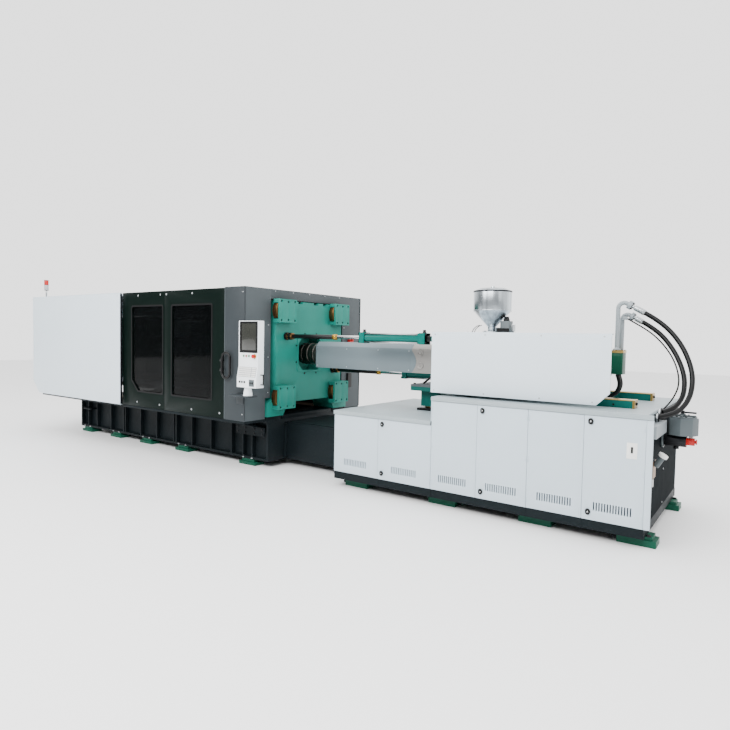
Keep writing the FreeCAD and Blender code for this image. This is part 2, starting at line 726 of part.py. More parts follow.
nuts = []
boxes = []
screws = []
for y, z in corners:
    for start in (d.platen_face, bar_left):
        blank = rod("x", start, y, z, d.nut_length, d.nut_radius)
        flats = box(start, start + d.nut_length, y - d.nut_radius, y + d.nut_radius,
                    z - d.nut_flat, z + d.nut_flat)
        bore = rod("x", start - 5, y, z, d.nut_length + 10, d.tie_radius)
        nuts.append(cut(common(blank, flats), [bore]))
    front = d.platen_face + d.box_depth
    body = box(d.platen_face, front, y - d.box_half_width, y + d.box_half_width, z - d.box_half_height,
               z + d.box_half_height)
    room = box(d.platen_face - 5, d.platen_face + d.nut_length + 2, y - d.box_half_width - 40,
               y + d.box_half_width + 40, z - d.nut_flat - 2, z + d.nut_flat + 2)
    counterbores = []
    for across, up in ((-120, 118), (0, 112), (120, 118), (-120, -118), (0, -112), (120, -118)):
        counterbores.append(rod("x", front - 24, y + across, z + up, 34, d.screw_head))
        screws.append(rod("x", front - 24, y + across, z + up, 16, d.screw_head - 1))
    boxes.append(cut(body, [room] + counterbores))
node("tie_bar_nuts", group(nuts))
node("nut_boxes", group(boxes))
for level in (470, 300, 150):
    screws.append(rod("y", 24, -half - 8, level, 8, 16))
    screws.append(rod("y", 24, half, level, 8, 16))
node("socket_screws", group(screws))

moving_back = -(d.moving_face + d.moving_plate)
moving_end = moving_back - d.moving_body
plate = platen_plate(moving_back, -d.moving_face, axis + d.platen_half_height)
rear_core = box(moving_end, moving_back + 1, -420, 420, axis - 400, axis + 400)
rib_high = box(moving_end + 120, moving_back + 1, -600, 600, axis - 60, axis + 60)
rib_wide = box(moving_end + 120, moving_back + 1, -60, 60, axis - 560, axis + 560)
moving_body = fuse([plate, rear_core, rib_high, rib_wide])
tools = bored(moving_end - 10, d.moving_plate + d.moving_body + 20, d.tie_radius + d.tie_clearance)
tools.append(box(moving_end + 150, moving_back - 150, -260, 260, axis - 450, axis + 450))
tools.append(rod("x", -d.moving_face - d.locating_depth, 0, axis, d.locating_depth + 10, d.locating_radius))
for side in (-1, 1):
    for level in (-1, 1):
        tools.append(rod("x", -d.moving_face - d.mould_bolt_depth, side * bolt, axis + level * bolt,
                         d.mould_bolt_depth + 10, d.mould_bolt_radius))
        tools.append(rod("x", moving_back - 160, side * 110, axis + level * 110, d.moving_plate + 170, 22))
tools.append(box(moving_end - 10, -d.moving_face + 10, -d.platen_foot_outer - 10, d.platen_foot_outer + 10,
                 d.wear_top - 10, d.wear_top + 0.4))
node("moving_platen", cut(moving_body, tools))

ram_left = moving_end - d.ram_length
node("clamp_ram", rod("x", ram_left, 0, axis, d.ram_length, d.ram_radius))

rear_left = -(d.rear_platen_face + d.rear_platen_thick)
plate = platen_plate(rear_left, -d.rear_platen_face, axis + d.platen_half_height)
tools = bored(rear_left - 10, d.rear_platen_thick + 20, d.tie_radius)
tools.append(rod("x", rear_left - 10, 0, axis, d.rear_platen_thick + 20, d.ram_radius + 0.3))
node("cylinder_platen", cut(plate, tools))
barrel_left = rear_left - d.cylinder_length
tools = [rod("x", barrel_left + 40, 0, axis, d.cylinder_length, d.ram_radius + d.ram_clearance)]
node("clamp_cylinder", cut(rod("x", barrel_left, 0, axis, d.cylinder_length, d.cylinder_radius), tools))

# ---------------------------------------------------------------- operator panel
panel_y = -(d.guard_half_width + d.panel_front)
panel_back = panel_y + d.panel_depth
lower = d.keypad_out
outline = [
    (0, d.panel_nose - d.panel_bottom),
    (lower, d.panel_step - d.panel_bottom),
    (lower, d.panel_top - d.panel_bottom),
    (lower + d.panel_depth, d.panel_top - d.panel_bottom),
    (lower + d.panel_depth, 0),
    (0, 0),
]
panel_right = d.panel_left + d.panel_width
case = pad("YZ_Plane", [outline], d.panel_width, (d.panel_left, panel_y - lower, d.panel_bottom), True)
screen_left = d.panel_left + 24
screen_right = panel_right - 10
screen_recess = box(screen_left, screen_right, panel_y - 5, panel_y + 6, d.panel_top - 362, d.panel_top - 15)
stop_x = panel_right - 55
button_z = d.panel_step + 118
button_holes = []
for across in (87, 131, 175):
    button_holes.append(rod("y", d.panel_left + across, panel_y - 5, button_z, 50, d.button_radius + 0.4))
button_holes.append(rod("y", stop_x, panel_y - 5, button_z, 50, 11.4))
socket = box(panel_right - 120, panel_right - 35, panel_y - lower - 5, panel_y - lower + 12,
             d.panel_bottom + 15, d.panel_bottom + 95)
case = cut(case, [screen_recess, socket] + button_holes)
side_bars = []
grip_y = panel_y + 45
for level in (40, 150):
    side_bars.append(rod("x", panel_right, grip_y, d.panel_bottom + level, 40, 6))
side_bars.append(rod("z", panel_right + 40, grip_y, d.panel_bottom + 30, 130, 7))
post_x = d.panel_left + 112
post_y = panel_y + 45
post = cone("z", post_x, post_y, d.panel_bottom - 101, 101, 56, 38)
node("panel_case", group([case, fuse(side_bars), post]))
node("panel_screen", box(screen_left + 1, screen_right - 1, panel_y - 1, panel_y + 6, d.panel_top - 361,
                         d.panel_top - 16))
stop_stem = rod("y", stop_x, panel_y - 20, button_z, 40, 11)
stop_head = rod("y", stop_x, panel_y - d.stop_proud, button_z, 15, 21)
knob = fuse([stop_stem, stop_head])
node("panel_stop", knob)
for number, across in enumerate((87, 131, 175)):
    button = rod("y", d.panel_left + across, panel_y - 9, button_z, 30, d.button_radius)
    node(f"panel_button_{number + 1}", button)
shelf_top = d.panel_bottom - 101.5
shelf_plate = box(-120, post_x + 80, panel_y - 15, door_y, shelf_top - 18, shelf_top)
shelf_flange = box(-120, 0, door_y - 12, door_y, shelf_top - 120, shelf_top)
node("panel_bracket", fuse([shelf_plate, shelf_flange]))

# ---------------------------------------------------------------- injection base
base_y = -d.base_half_width
sheet_thick = d.cabinet_sheet
inside_y = base_y + sheet_thick
slab = box(d.base_left, d.base_right, inside_y, -inside_y, d.base_bottom, d.door_bottom)
under = box(d.base_left + 80, d.base_right - 80, inside_y + 80, -inside_y - 80, d.base_bottom - 10,
            d.door_bottom - 20)
walls = [cut(slab, [under])]
walls.append(box(d.base_left, d.step_at, -inside_y - sheet_thick, -inside_y, d.door_bottom, d.low_top - 20))
walls.append(box(d.step_at, d.base_right, -inside_y - sheet_thick, -inside_y, d.door_bottom, d.tall_top - 20))
DIVIDERS = (
    (d.base_left, d.low_top),
    (d.seam_one - 10, d.low_top),
    (d.step_at, d.tall_top),
    (d.seam_three - 10, d.tall_top),
    (d.seam_four - 10, d.tall_top),
    (d.seam_five - 10, d.tall_top),
    (d.base_right - sheet_thick, d.tall_top),
)
for spot, high in DIVIDERS:
    walls.append(box(spot, spot + sheet_thick, inside_y, -inside_y, d.door_bottom - 1, high - 20))
node("base_frame", fuse(walls))

panels = []
rear_high = -base_y
rear_low = rear_high - sheet_thick
panels.append(box(d.base_left, d.step_at - 2, rear_low, rear_high, d.door_bottom, d.low_top - 22))
panels.append(box(d.step_at, d.base_right, rear_low, rear_high, d.door_bottom, d.tall_top - 46))
panels.append(box(d.step_at - 8, d.step_at, base_y, rear_high, d.low_top, d.tall_top - 20))
panels.append(box(d.base_right - 4, d.base_right + 46, base_y, inside_y, d.door_bottom, d.tall_top - 46))
node("base_panels", group(panels))

low_plate = box(d.base_left - 10, d.step_at - 8, base_y - 8, -base_y + 8, d.low_top - 20, d.low_top)
low_lip = box(d.base_left - 10, d.step_at - 8, base_y - 8, base_y, d.low_top - d.top_lip, d.low_top)
tall_plate = box(d.step_at - 8, d.base_right, base_y - 8, -base_y + 8, d.tall_top - 20, d.tall_top)
tall_lip = box(d.step_at - 8, d.base_right + 46, base_y - 8, base_y, d.tall_top - d.top_lip, d.tall_top)
node("base_tops", group([fuse([low_plate, low_lip]), fuse([tall_plate, tall_lip])]))

feet = []
for spot in (d.base_left + 80, d.base_right - 220):
    foot = fuse([box(spot, spot + d.foot_length, -740, -560, 0, 55),
                 box(spot + 30, spot + d.foot_length - 30, -725, -575, 54, d.base_bottom)])
    set_screw = rod("x", spot - 45, -700, 30, 45, 14)
    for item in (foot, set_screw):
        feet.append(item)
        feet.append(mirror(item))
for spot in (2300, 3250):
    foot = box(spot, spot + d.foot_length, -740, -560, 0, d.base_bottom)
    feet.append(foot)
    feet.append(mirror(foot))
node("base_feet", group(feet))

DOORS = (
    (d.base_left, d.seam_one, d.low_top, 1291, False),
    (d.seam_one, d.step_at, d.low_top, 1911, True),
    (d.step_at, d.seam_three, d.tall_top, 2465, False),
    (d.seam_three, d.seam_four, d.tall_top, 2962, True),
    (d.seam_four, d.seam_five, d.tall_top, 3451, False),
    (d.seam_five, d.base_right - 4, d.tall_top, 3930, True),
)
lock_low = as_size(240)
switch_x = d.base_right - 104 - d.door_gap / 2
door_gap = d.door_gap / 2
for number, (left, right, top, vent_left, locked) in enumerate(DOORS):
    low = left + door_gap
    high = right - door_gap
    door_high = top - d.top_lip - d.door_gap
    panel = box(low, high, base_y, inside_y - 1, d.door_bottom, door_high)
    slots = []
    for slot in range(14):
        x = vent_left + slot * d.vent_pitch
        slots.append(box(x, x + d.vent_slot, base_y - 5, inside_y + 5, 256, 256 + d.vent_height))
    has_switch = number == len(DOORS) - 1
    if has_switch:
        slots.append(box(switch_x - 8, switch_x + 8, base_y - 5, inside_y + 5, 776, 828))
    pieces = [cut(panel, slots)]
    if has_switch:
        bezel = box(switch_x - 40, switch_x + 40, base_y - 3, base_y, 730, 860)
        pieces.append(cut(bezel, [box(switch_x - 8, switch_x + 8, base_y - 10, base_y + 10, 776, 828)]))
    if locked:
        for level in (lock_low, top - 92):
            pieces.append(rod("y", low + 52, base_y - 6, level, 6, 22))
    node(f"cabinet_door_{number + 1}", group(pieces))
node("main_switch", box(switch_x - 7, switch_x + 7, base_y - 8, base_y + 14, 778, 826))

rails = []
rail_top = d.tall_top + d.rail_height
for low, high in ((-d.rail_outer, -d.rail_inner), (d.rail_inner, d.rail_outer)):
    rails.append(box(d.rail_left, d.rail_right, low, high, d.tall_top, rail_top))
    rails.append(box(d.rail_left, d.rail_right, low, high, rail_top, rail_top + 8))
    rails.append(box(d.rail_right, d.rail_right + 15, low - 4, high + 4, d.tall_top, rail_top + 8))
node("guide_rails", group(rails))

pedestal_x = as_size(1950)
pedestal = []
flange = box(pedestal_x - 180, pedestal_x + 180, -260, 260, 1080, 1125)
column_block = box(pedestal_x - 105, pedestal_x + 105, -150, 150, 900, 1081)
web_block = box(pedestal_x + 100, d.step_at - 12, -60, 60, 900, 1060)
pedestal.append(fuse([flange, column_block, web_block]))
pedestal.append(box(pedestal_x - 180, pedestal_x + 180, -260, 260, 1125, 1150))
pedestal.append(rod("z", pedestal_x, 0, 878, 22, 120))
pedestal.append(box(pedestal_x - 140, pedestal_x + 200, -180, 180, d.low_top, 878))
pedestal.append(slanted_rod((pedestal_x - 60, as_size(-180), as_size(1162)), (0.8, 0.0, 0.6), 110, 12))
node("pedestal", group(pedestal))

# ---------------------------------------------------------------- tank fittings
end_face = d.base_right
tray = box(end_face, end_face + 60, -800, -300, 900, 1000)
can_x = d.filter_at
can_y = -d.filter_out
can = prism(can_x, can_y, d.filter_bottom, d.filter_top - d.filter_bottom, 8, d.filter_radius)
lid = rod("z", can_x, can_y, d.filter_top, 12, d.filter_radius - 14)
stem = rod("z", can_x, can_y, d.filter_top + 12, 22, 24)
pump = rod("x", end_face, can_y, 815, 200, 54)
valve = box(end_face + 200, end_face + 262, can_y - 30, can_y + 30, 785, 845)
drop = rod("z", can_x - 40, can_y, 740, 20, 22)
filler_out = 24
filler_start = (end_face + filler_out, as_size(-560), as_size(640))
filler = slanted_rod(filler_start, (0.5, 0.0, 0.866), 95, 26)
bracket = box(end_face, end_face + 18, -640, -500, 540, 690)
sight = box(end_face, end_face + 16, -600, -570, 470, 530)
glands = [rod("x", end_face, -462, 1036, 24, 34), rod("x", end_face, -350, 1066, 24, 31),
          rod("x", end_face, -246, 1078, 20, 16)]
filler_unit = fuse([filler, bracket])
node("tank_fittings", group([tray, can, lid, stem, pump, valve, drop, filler_unit, sight] + glands))
handle_z = d.filter_top + 34.5
handle = fuse([rod("x", can_x - 105, can_y, handle_z + 12, 210, 8), rod("z", can_x, can_y, handle_z, 26, 14)])
node("filter_handle", handle)
cap_start = (end_face + filler_out + 48, as_size(-560), as_size(640 + 83.5))
node("filler_cap", slanted_rod(cap_start, (0.5, 0.0, 0.866), 26, 38))

# ---------------------------------------------------------------- carriage cylinders
rods = []
jacks = []
near_jack = (-d.rod_out, axis + d.rod_up)
far_jack = (d.rod_out, axis - d.rod_up)
for y, z in (near_jack, far_jack):
    start = d.platen_face
    rods.append(rod("x", start, y, z, 26, 50))
    rods.append(rod("x", start + 26, y, z, 30, 40))
    rods.append(rod("x", start + 56, y, z, 34, 46))
    rods.append(rod("x", start + 90, y, z, 30, 40))
    rods.append(rod("x", start + 120, y, z, 655, 28))
    rods.append(rod("x", start + 775, y, z, 45, 34))
    rods.append(rod("x", start + 820, y, z, 1000, d.chrome_radius))
    jack_length = d.jack_right - d.jack_left
    body = rod("x", d.jack_left + 40, y, z, jack_length - 40, d.jack_radius - 8)
    head = box(d.jack_left, d.jack_left + 70, y - d.jack_radius, y + d.jack_radius, z - d.jack_radius,
               z + d.jack_radius)
    tail = box(d.jack_right - 90, d.jack_right, y - d.jack_radius, y + d.jack_radius, z - d.jack_radius,
               z + d.jack_radius)
    bore = rod("x", d.jack_left - 10, y, z, jack_length - 40, d.chrome_radius + 0.4)
    jacks.append(cut(fuse([body, head, tail]), [bore]))
    jacks.append(box(d.jack_right, d.jack_right + 60, y - 34, y + 34, z - 30, z + 30))
    jacks.append(rod("x", d.jack_right + 60, y, z, 180, 30))
node("carriage_rods", group(rods))
node("carriage_cylinders", group(jacks))

# ---------------------------------------------------------------- injection unit
barrel_left = -d.barrel_tip
barrel_back = as_size(2340)
feed_x = d.hopper_at
nose = cone("x", barrel_left - 60, 0, axis, 60, 36, 80)
tip = rod("x", barrel_left - 100, 0, axis, 40, 30)
head = rod("x", barrel_left, 0, axis, d.cover_left - barrel_left, d.barrel_head_radius)
tube_body = rod("x", d.cover_left, 0, axis, barrel_back - d.cover_left, d.barrel_radius)
screw_bore = rod("x", 0, 0, axis, barrel_back, d.screw_radius + d.screw_clearance)
melt_bore = rod("x", barrel_left - 110, 0, axis, 300, 8)
node("barrel", cut(fuse([nose, tip, head, tube_body]), [screw_bore, melt_bore]))

cw = d.cover_half_width
ch = d.cover_half_height


def cover_loop(inset):
    """Outline of the barrel cover's section, grown inwards by a wall thickness."""
    wide = cw * 2
    high = ch * 2
    slope = as_size(55)
    wall = as_size(inset)
    return [
        (wall, wall),
        (wide - wall, wall),
        (wide - wall, high - slope - wall * 0.6),
        (wide - slope - wall * 0.6, high - wall),
        (slope + wall * 0.6, high - wall),
        (wall, high - slope - wall * 0.6),
    ]


front_cover = pad("YZ_Plane", [cover_loop(0), cover_loop(6)], d.cover_seam - d.cover_left,
                  (d.cover_left, -cw, axis - ch), True)
rear_cover = pad("YZ_Plane", [cover_loop(0), cover_loop(6)], d.shield_left - d.cover_seam - 1,
                 (d.cover_seam + 0.5, -cw, axis - ch), True)
node("barrel_covers", group([front_cover, rear_cover]))

rail_low = rail_top + 8
shoe_top = rail_low + 62
housing_top = as_size(1690)
shoes = []
for low, high in ((-d.rail_outer - 6, -d.rail_inner + 6), (d.rail_inner - 6, d.rail_outer + 6)):
    shoes.append(box(2440, 2840, low, high, rail_low + 0.4, shoe_top + 1))
    shoes.append(box(3240, 3640, low, high, rail_low + 0.4, shoe_top + 1))
bed_plate = box(2440, 3650, -520, 520, shoe_top, shoe_top + 40)
front_block = box(2340, 2800, -280, 280, shoe_top + 39, housing_top)
rear_block = box(3560, 3640, -300, 300, shoe_top + 39, housing_top)
guide_bars = [rod("x", 2799, side * 220, axis, 762, 40) for side in (-1, 1)]
ledge = box(3649, 3722, -80, 80, shoe_top - 125, shoe_top + 40)
near_lug = box(2330, 2420, -525, -279, axis + 170, housing_top)
far_lug = box(2330, 2420, 279, 525, axis - 264, axis - 150)
bore = rod("x", 2330, 0, axis, 500, d.screw_radius + d.screw_clearance)
rear_bore = rod("x", 3550, 0, axis, 110, d.screw_radius + d.screw_clearance)
feed = rod("z", feed_x, 0, axis, housing_top - axis + 10, 36)
housing = fuse(shoes + [bed_plate, front_block, rear_block, ledge, near_lug, far_lug] + guide_bars)
node("injection_housing", cut(housing, [bore, rear_bore, feed]))

node("screw", rod("x", 60, 0, axis, 3580, d.screw_radius))

motor = [box(d.motor_left, d.motor_right, -70, 70, d.motor_bottom, d.motor_top)]
motor.append(box(d.motor_left - 4, d.motor_right + 4, -74, 74, d.motor_top, d.motor_top + 24))
motor.append(rod("x", 3641, 0, axis, d.motor_left - 3641, 105))
node("motor_block", group(motor))

slope_angle = math.radians(30)
lead = (math.cos(slope_angle), 0.0, -math.sin(slope_angle))
FERRULE_A = (4118.0, 0.0, 1941.0)
FERRULE_B = (4085.0, 96.0, 1860.0)


def along(point, distance):
    """A point a distance back from a hose end, along the slanted fitting."""
    return (point[0] - lead[0] * distance, point[1], point[2] - lead[2] * distance)


def fitting(ferrule, flange_back, neck_back, ferrule_length):
    """Flange, neck and crimped ferrule in a row, ending where the hose starts."""
    return [
        slanted_rod(along(ferrule, flange_back), lead, flange_back - neck_back, 40),
        slanted_rod(along(ferrule, neck_back), lead, neck_back - ferrule_length, 16),
        slanted_rod(along(ferrule, ferrule_length), lead, ferrule_length, 25),
    ]


def pipe_route(ferrule, upright, foot, flange_back):
    """A pipe that rises straight and bends over to its slanted fitting."""
    knee_z = ferrule[2] + (ferrule[0] - upright) * math.tan(slope_angle)
    return [(upright, ferrule[1], foot), (upright, ferrule[1], knee_z), along(ferrule, flange_back)]


pipes = [tube("supply_pipe_a", pipe_route(FERRULE_A, 3886.0, 1590.0, 165), d.pipe_radius, 0.85)]
pipe_b = tube("supply_pipe_b", pipe_route(FERRULE_B, 3906.0, 1560.0, 118), d.pipe_radius, 0.85)
CABLE_GLAND = (3950.0, 48.0, 1895.7)
cable_gland = slanted_rod(CABLE_GLAND, lead, 16, 12)
cable_arm = box(3912, 3954, 40, 84, 1880, 1912)
pipes.append(fuse([pipe_b, cable_gland, cable_arm]))
pipes = pipes + fitting(FERRULE_A, 165, 130, 100)
pipes = pipes + fitting(FERRULE_B, 118, 92, 70)
pipes.append(box(d.motor_left + 20, d.motor_right - 20, 70, 125, 1500, 1560))
node("supply_pipes", group(pipes))

shield_y = -d.shield_half_width
shield_length = d.shield_right - d.shield_left
shield_height = d.shield_top - d.shield_bottom
outline = [
    (0, 0),
    (shield_length - d.shield_cut, 0),
    (shield_length, d.shield_cut),
    (shield_length, shield_height),
    (0, shield_height),
]
face = pad("XZ_Plane", [outline], 20, (d.shield_left, shield_y, d.shield_bottom), True)
lid_front = box(d.shield_left, d.shield_right, shield_y + 19, shield_y + 80, d.shield_top - 10, d.shield_top)
lid_main = box(d.shield_left, 3650, shield_y + 19, 560, d.shield_top - 10, d.shield_top)
back_face = box(d.shield_left, 3650, 550, 560, 1300, d.shield_top)
left_end = box(d.shield_left, d.shield_left + 10, shield_y + 19, 560, d.shield_bottom + 80, d.shield_top)
cover = fuse([face, lid_front, lid_main, back_face, left_end])
window = box(d.shield_left - 10, d.shield_left + 20, -cw - 2, cw + 2, axis - ch - 2, axis + ch + 2)
jack_hole = rod("x", d.shield_left - 10, near_jack[0], near_jack[1], 40, 40)
far_hole = rod("x", d.shield_left - 10, far_jack[0], far_jack[1], 40, 40)
neck_hole = rod("z", feed_x, 0, d.shield_top - 20, 40, d.neck_radius + 1)
node("injection_cover", cut(cover, [window, jack_hole, far_hole, neck_hole]))

wall = d.hopper_wall
outer = [rod("z", feed_x, 0, d.hopper_waist, d.hopper_top - d.hopper_waist, d.hopper_radius)]
outer.append(cone("z", feed_x, 0, d.hopper_neck, d.hopper_waist - d.hopper_neck, d.neck_radius,
                  d.hopper_radius))
outer.append(rod("z", feed_x, 0, housing_top, d.hopper_neck - housing_top, d.neck_radius))
inner = [rod("z", feed_x, 0, d.hopper_waist, d.hopper_top - d.hopper_waist + 10, d.hopper_radius - wall)]
inner.append(cone("z", feed_x, 0, d.hopper_neck, d.hopper_waist - d.hopper_neck, d.neck_radius - wall,
                  d.hopper_radius - wall))
inner.append(rod("z", feed_x, 0, housing_top - 10, d.hopper_neck - housing_top + 10, d.neck_radius - wall))
shell = cut(fuse(outer), [fuse(inner)])
loader = box(feed_x + 70, feed_x + 230, -60, 60, d.shield_top, d.shield_top + 60)
loader_top = box(feed_x + 115, feed_x + 215, -50, 50, d.shield_top + 60, d.shield_top + 130)
node("hopper", group([shell, fuse([loader, loader_top])]))
dome_low = cone("z", feed_x, 0, d.hopper_top + 0.4, 26, d.hopper_radius + 3, d.hopper_radius - 60)
knob = rod("z", feed_x, 0, d.hopper_top + 26, 24, 20)
node("hopper_lid", fuse([dome_low, knob]))

# ---------------------------------------------------------------- hoses and cable
hose_a = [FERRULE_A, along(FERRULE_A, -166), (4437, -50, 1661), (4539, -120, 1428), (4545, -190, 1240),
          (4500, -290, 1120), (4425, -385, 1060), (4336, -448, 1041)]
hose_b = [FERRULE_B, along(FERRULE_B, -150), (4366, 45, 1605), (4466, -30, 1395), (4478, -95, 1230),
          (4445, -180, 1130), (4390, -265, 1085), (4341, -329, 1071)]
cable = [along(CABLE_GLAND, -16), along(CABLE_GLAND, -146), (4195, 45, 1740), (4300, 28, 1628),
         (4375, 5, 1510), (4420, -28, 1385), (4428, -66, 1280), (4400, -112, 1190),
         (4364, -172, 1122), (4334, -240, 1082)]
node("hose_upper", tube("hose_upper", hose_a, d.hose_radius))
node("hose_lower", tube("hose_lower", hose_b, d.hose_radius))
node("signal_cable", tube("signal_cable", cable, d.cable_radius))
motor_hoses = []
for side in (-34, 34):
    path = [(3905, side, 1364), (3930, side, 1300), (3926, side, 1230), (3888, side, 1172),
            (3826, side, 1142), (3722, side, 1135)]
    motor_hoses.append(tube("motor_hose", path, d.motor_hose_radius))
node("motor_hoses", group(motor_hoses))

# ---------------------------------------------------------------- check and export
doc.recompute()
failed = [item for item in doc.Objects if "Invalid" in item.State or "Error" in item.State]
if failed:
    raise RuntimeError("failed: " + ", ".join(item.Name for item in failed))
for name, piece in parts.items():
    if piece.Shape.isNull() or not piece.Shape.isValid():
        raise RuntimeError(f"{name} has no valid shape")
for name, sweep, length, radius, smallest in tubes:
    expected = math.pi * radius * radius * length
    print(f"{name}: length {length:.0f}, smallest radius {smallest:.0f}, "
          f"volume {sweep.Shape.Volume / expected:.4f} of section times length")
os.makedirs("parts", exist_ok=True)
for name, piece in parts.items():
    piece.Shape.exportStep(f"parts/{name}.step")
print(f"{len(parts)} nodes")
whole = Part.makeCompound([piece.Shape for name, piece in parts.items()])
bounds = whole.BoundBox
print(f"x {bounds.XMin:.1f} {bounds.XMax:.1f}  y {bounds.YMin:.1f} {bounds.YMax:.1f}  "
      f"z {bounds.ZMin:.1f} {bounds.ZMax:.1f}")
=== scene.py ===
# Looks of a horizontal injection moulding machine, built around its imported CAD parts.
import math

import bmesh
import bpy
from mathutils import Matrix, Vector


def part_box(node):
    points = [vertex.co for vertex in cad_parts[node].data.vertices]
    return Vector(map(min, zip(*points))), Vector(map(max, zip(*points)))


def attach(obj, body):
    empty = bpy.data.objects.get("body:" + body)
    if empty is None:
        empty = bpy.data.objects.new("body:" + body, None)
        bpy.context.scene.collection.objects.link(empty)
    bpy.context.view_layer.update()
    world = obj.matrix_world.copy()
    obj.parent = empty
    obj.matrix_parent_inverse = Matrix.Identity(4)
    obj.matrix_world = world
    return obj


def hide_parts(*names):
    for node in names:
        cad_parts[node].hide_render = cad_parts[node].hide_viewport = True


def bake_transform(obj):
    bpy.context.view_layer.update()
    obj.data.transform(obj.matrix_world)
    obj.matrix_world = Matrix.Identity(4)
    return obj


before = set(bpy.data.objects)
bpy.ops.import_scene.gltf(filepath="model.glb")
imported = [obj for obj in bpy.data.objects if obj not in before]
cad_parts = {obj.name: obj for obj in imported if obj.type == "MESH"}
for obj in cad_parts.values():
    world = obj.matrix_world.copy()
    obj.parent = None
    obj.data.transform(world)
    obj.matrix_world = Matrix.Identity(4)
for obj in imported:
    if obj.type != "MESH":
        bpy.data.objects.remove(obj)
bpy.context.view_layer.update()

# ---------------------------------------------------------------- places
# All places are millimetres from the right end of the guard, the machine's centreline and the floor.
GUARD_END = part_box("guard_deck")[1].x
HOOD_LOW, HOOD_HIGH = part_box("hood_panels")
CENTRE_Y = (HOOD_LOW.y + HOOD_HIGH.y) / 2
MM = 0.001
AXIS_Z = 1437.0
DOOR_Y = -1150.0
HOOD_SIDE = 1200
BED_SIDE = 745
BASE_Y = -854.0
SHIELD_Y = -720.0
HOPPER_X = 2615


def at(x, y, z):
    """Machine millimetres to the frame's metres."""
    return Vector((GUARD_END + x * MM, CENTRE_Y + y * MM, z * MM))


def to_machine(point):
    """The frame's metres to machine millimetres."""
    return Vector(((point.x - GUARD_END) / MM, (point.y - CENTRE_Y) / MM, point.z / MM))


# ---------------------------------------------------------------- materials
def tone(code):
    """A linear colour from a six-digit display colour."""
    values = [int(code[i:i + 2], 16) / 255 for i in (0, 2, 4)]
    linear = [v / 12.92 if v <= 0.04045 else ((v + 0.055) / 1.055) ** 2.4 for v in values]
    return (*linear, 1.0)


def shade(colour, factor):
    return (*[min(1.0, channel * factor) for channel in colour[:3]], 1.0)


class Look:
    """A procedural material: a Principled shader with nodes for its variation, wear and relief."""

    def __init__(self, name, metallic=0.0, coat=0.0, ior=1.45):
        self.material = bpy.data.materials.new(name)
        self.material.use_nodes = True
        self.tree = self.material.node_tree
        self.shader = self.tree.nodes["Principled BSDF"]
        self.shader.inputs["Metallic"].default_value = metallic
        self.shader.inputs["Coat Weight"].default_value = coat
        self.shader.inputs["Coat Roughness"].default_value = 0.08
        self.shader.inputs["IOR"].default_value = ior
        self.place = self.tree.nodes.new("ShaderNodeTexCoord")
        self.normal = None

    def link(self, source, target):
        self.tree.links.new(source, target)

    def noise(self, scale, detail=3.0, stretch=(1, 1, 1), roughness=0.55):
        mapping = self.tree.nodes.new("ShaderNodeMapping")
        mapping.inputs["Scale"].default_value = stretch
        self.link(self.place.outputs["Object"], mapping.inputs["Vector"])
        texture = self.tree.nodes.new("ShaderNodeTexNoise")
        texture.inputs["Scale"].default_value = scale
        texture.inputs["Detail"].default_value = detail
        texture.inputs["Roughness"].default_value = roughness
        self.link(mapping.outputs["Vector"], texture.inputs["Vector"])
        return texture.outputs["Fac"]

    def ramp(self, value, stops):
        ramp = self.tree.nodes.new("ShaderNodeValToRGB")
        self.link(value, ramp.inputs["Fac"])
        elements = ramp.color_ramp.elements
        while len(elements) < len(stops):
            elements.new(0.5)
        for element, (spot, colour) in zip(elements, stops):
            element.position = spot
            element.color = colour
        return ramp.outputs["Color"]

    def mix(self, factor, first, second, blend="MIX"):
        node = self.tree.nodes.new("ShaderNodeMix")
        node.data_type = "RGBA"
        node.blend_type = blend
        if isinstance(factor, float):
            node.inputs["Factor"].default_value = factor
        else:
            self.link(factor, node.inputs["Factor"])
        for socket, value in ((node.inputs[6], first), (node.inputs[7], second)):
            if isinstance(value, tuple):
                socket.default_value = value
            else:
                self.link(value, socket)
        return node.outputs[2]

    def spread(self, value, low, high):
        node = self.tree.nodes.new("ShaderNodeMapRange")
        self.link(value, node.inputs["Value"])
        node.inputs["To Min"].default_value = low
        node.inputs["To Max"].default_value = high
        return node.outputs["Result"]

    def height(self, low, high):
        """A 0 to 1 value that rises with height between two levels in metres."""
        split = self.tree.nodes.new("ShaderNodeSeparateXYZ")
        self.link(self.place.outputs["Object"], split.inputs["Vector"])
        node = self.tree.nodes.new("ShaderNodeMapRange")
        node.inputs["From Min"].default_value = low
        node.inputs["From Max"].default_value = high
        self.link(split.outputs["Z"], node.inputs["Value"])
        return node.outputs["Result"]

    def colour(self, source):
        if isinstance(source, tuple):
            self.shader.inputs["Base Color"].default_value = source
        else:
            self.link(source, self.shader.inputs["Base Color"])

    def rough(self, source):
        if isinstance(source, float):
            self.shader.inputs["Roughness"].default_value = source
        else:
            self.link(source, self.shader.inputs["Roughness"])

    def relief(self, value, strength, distance):
        bump = self.tree.nodes.new("ShaderNodeBump")
        bump.inputs["Strength"].default_value = strength
        bump.inputs["Distance"].default_value = distance
        self.link(value, bump.inputs["Height"])
        if self.normal is not None:
            self.link(self.normal, bump.inputs["Normal"])
        self.normal = bump.outputs["Normal"]
        self.link(self.normal, self.shader.inputs["Normal"])


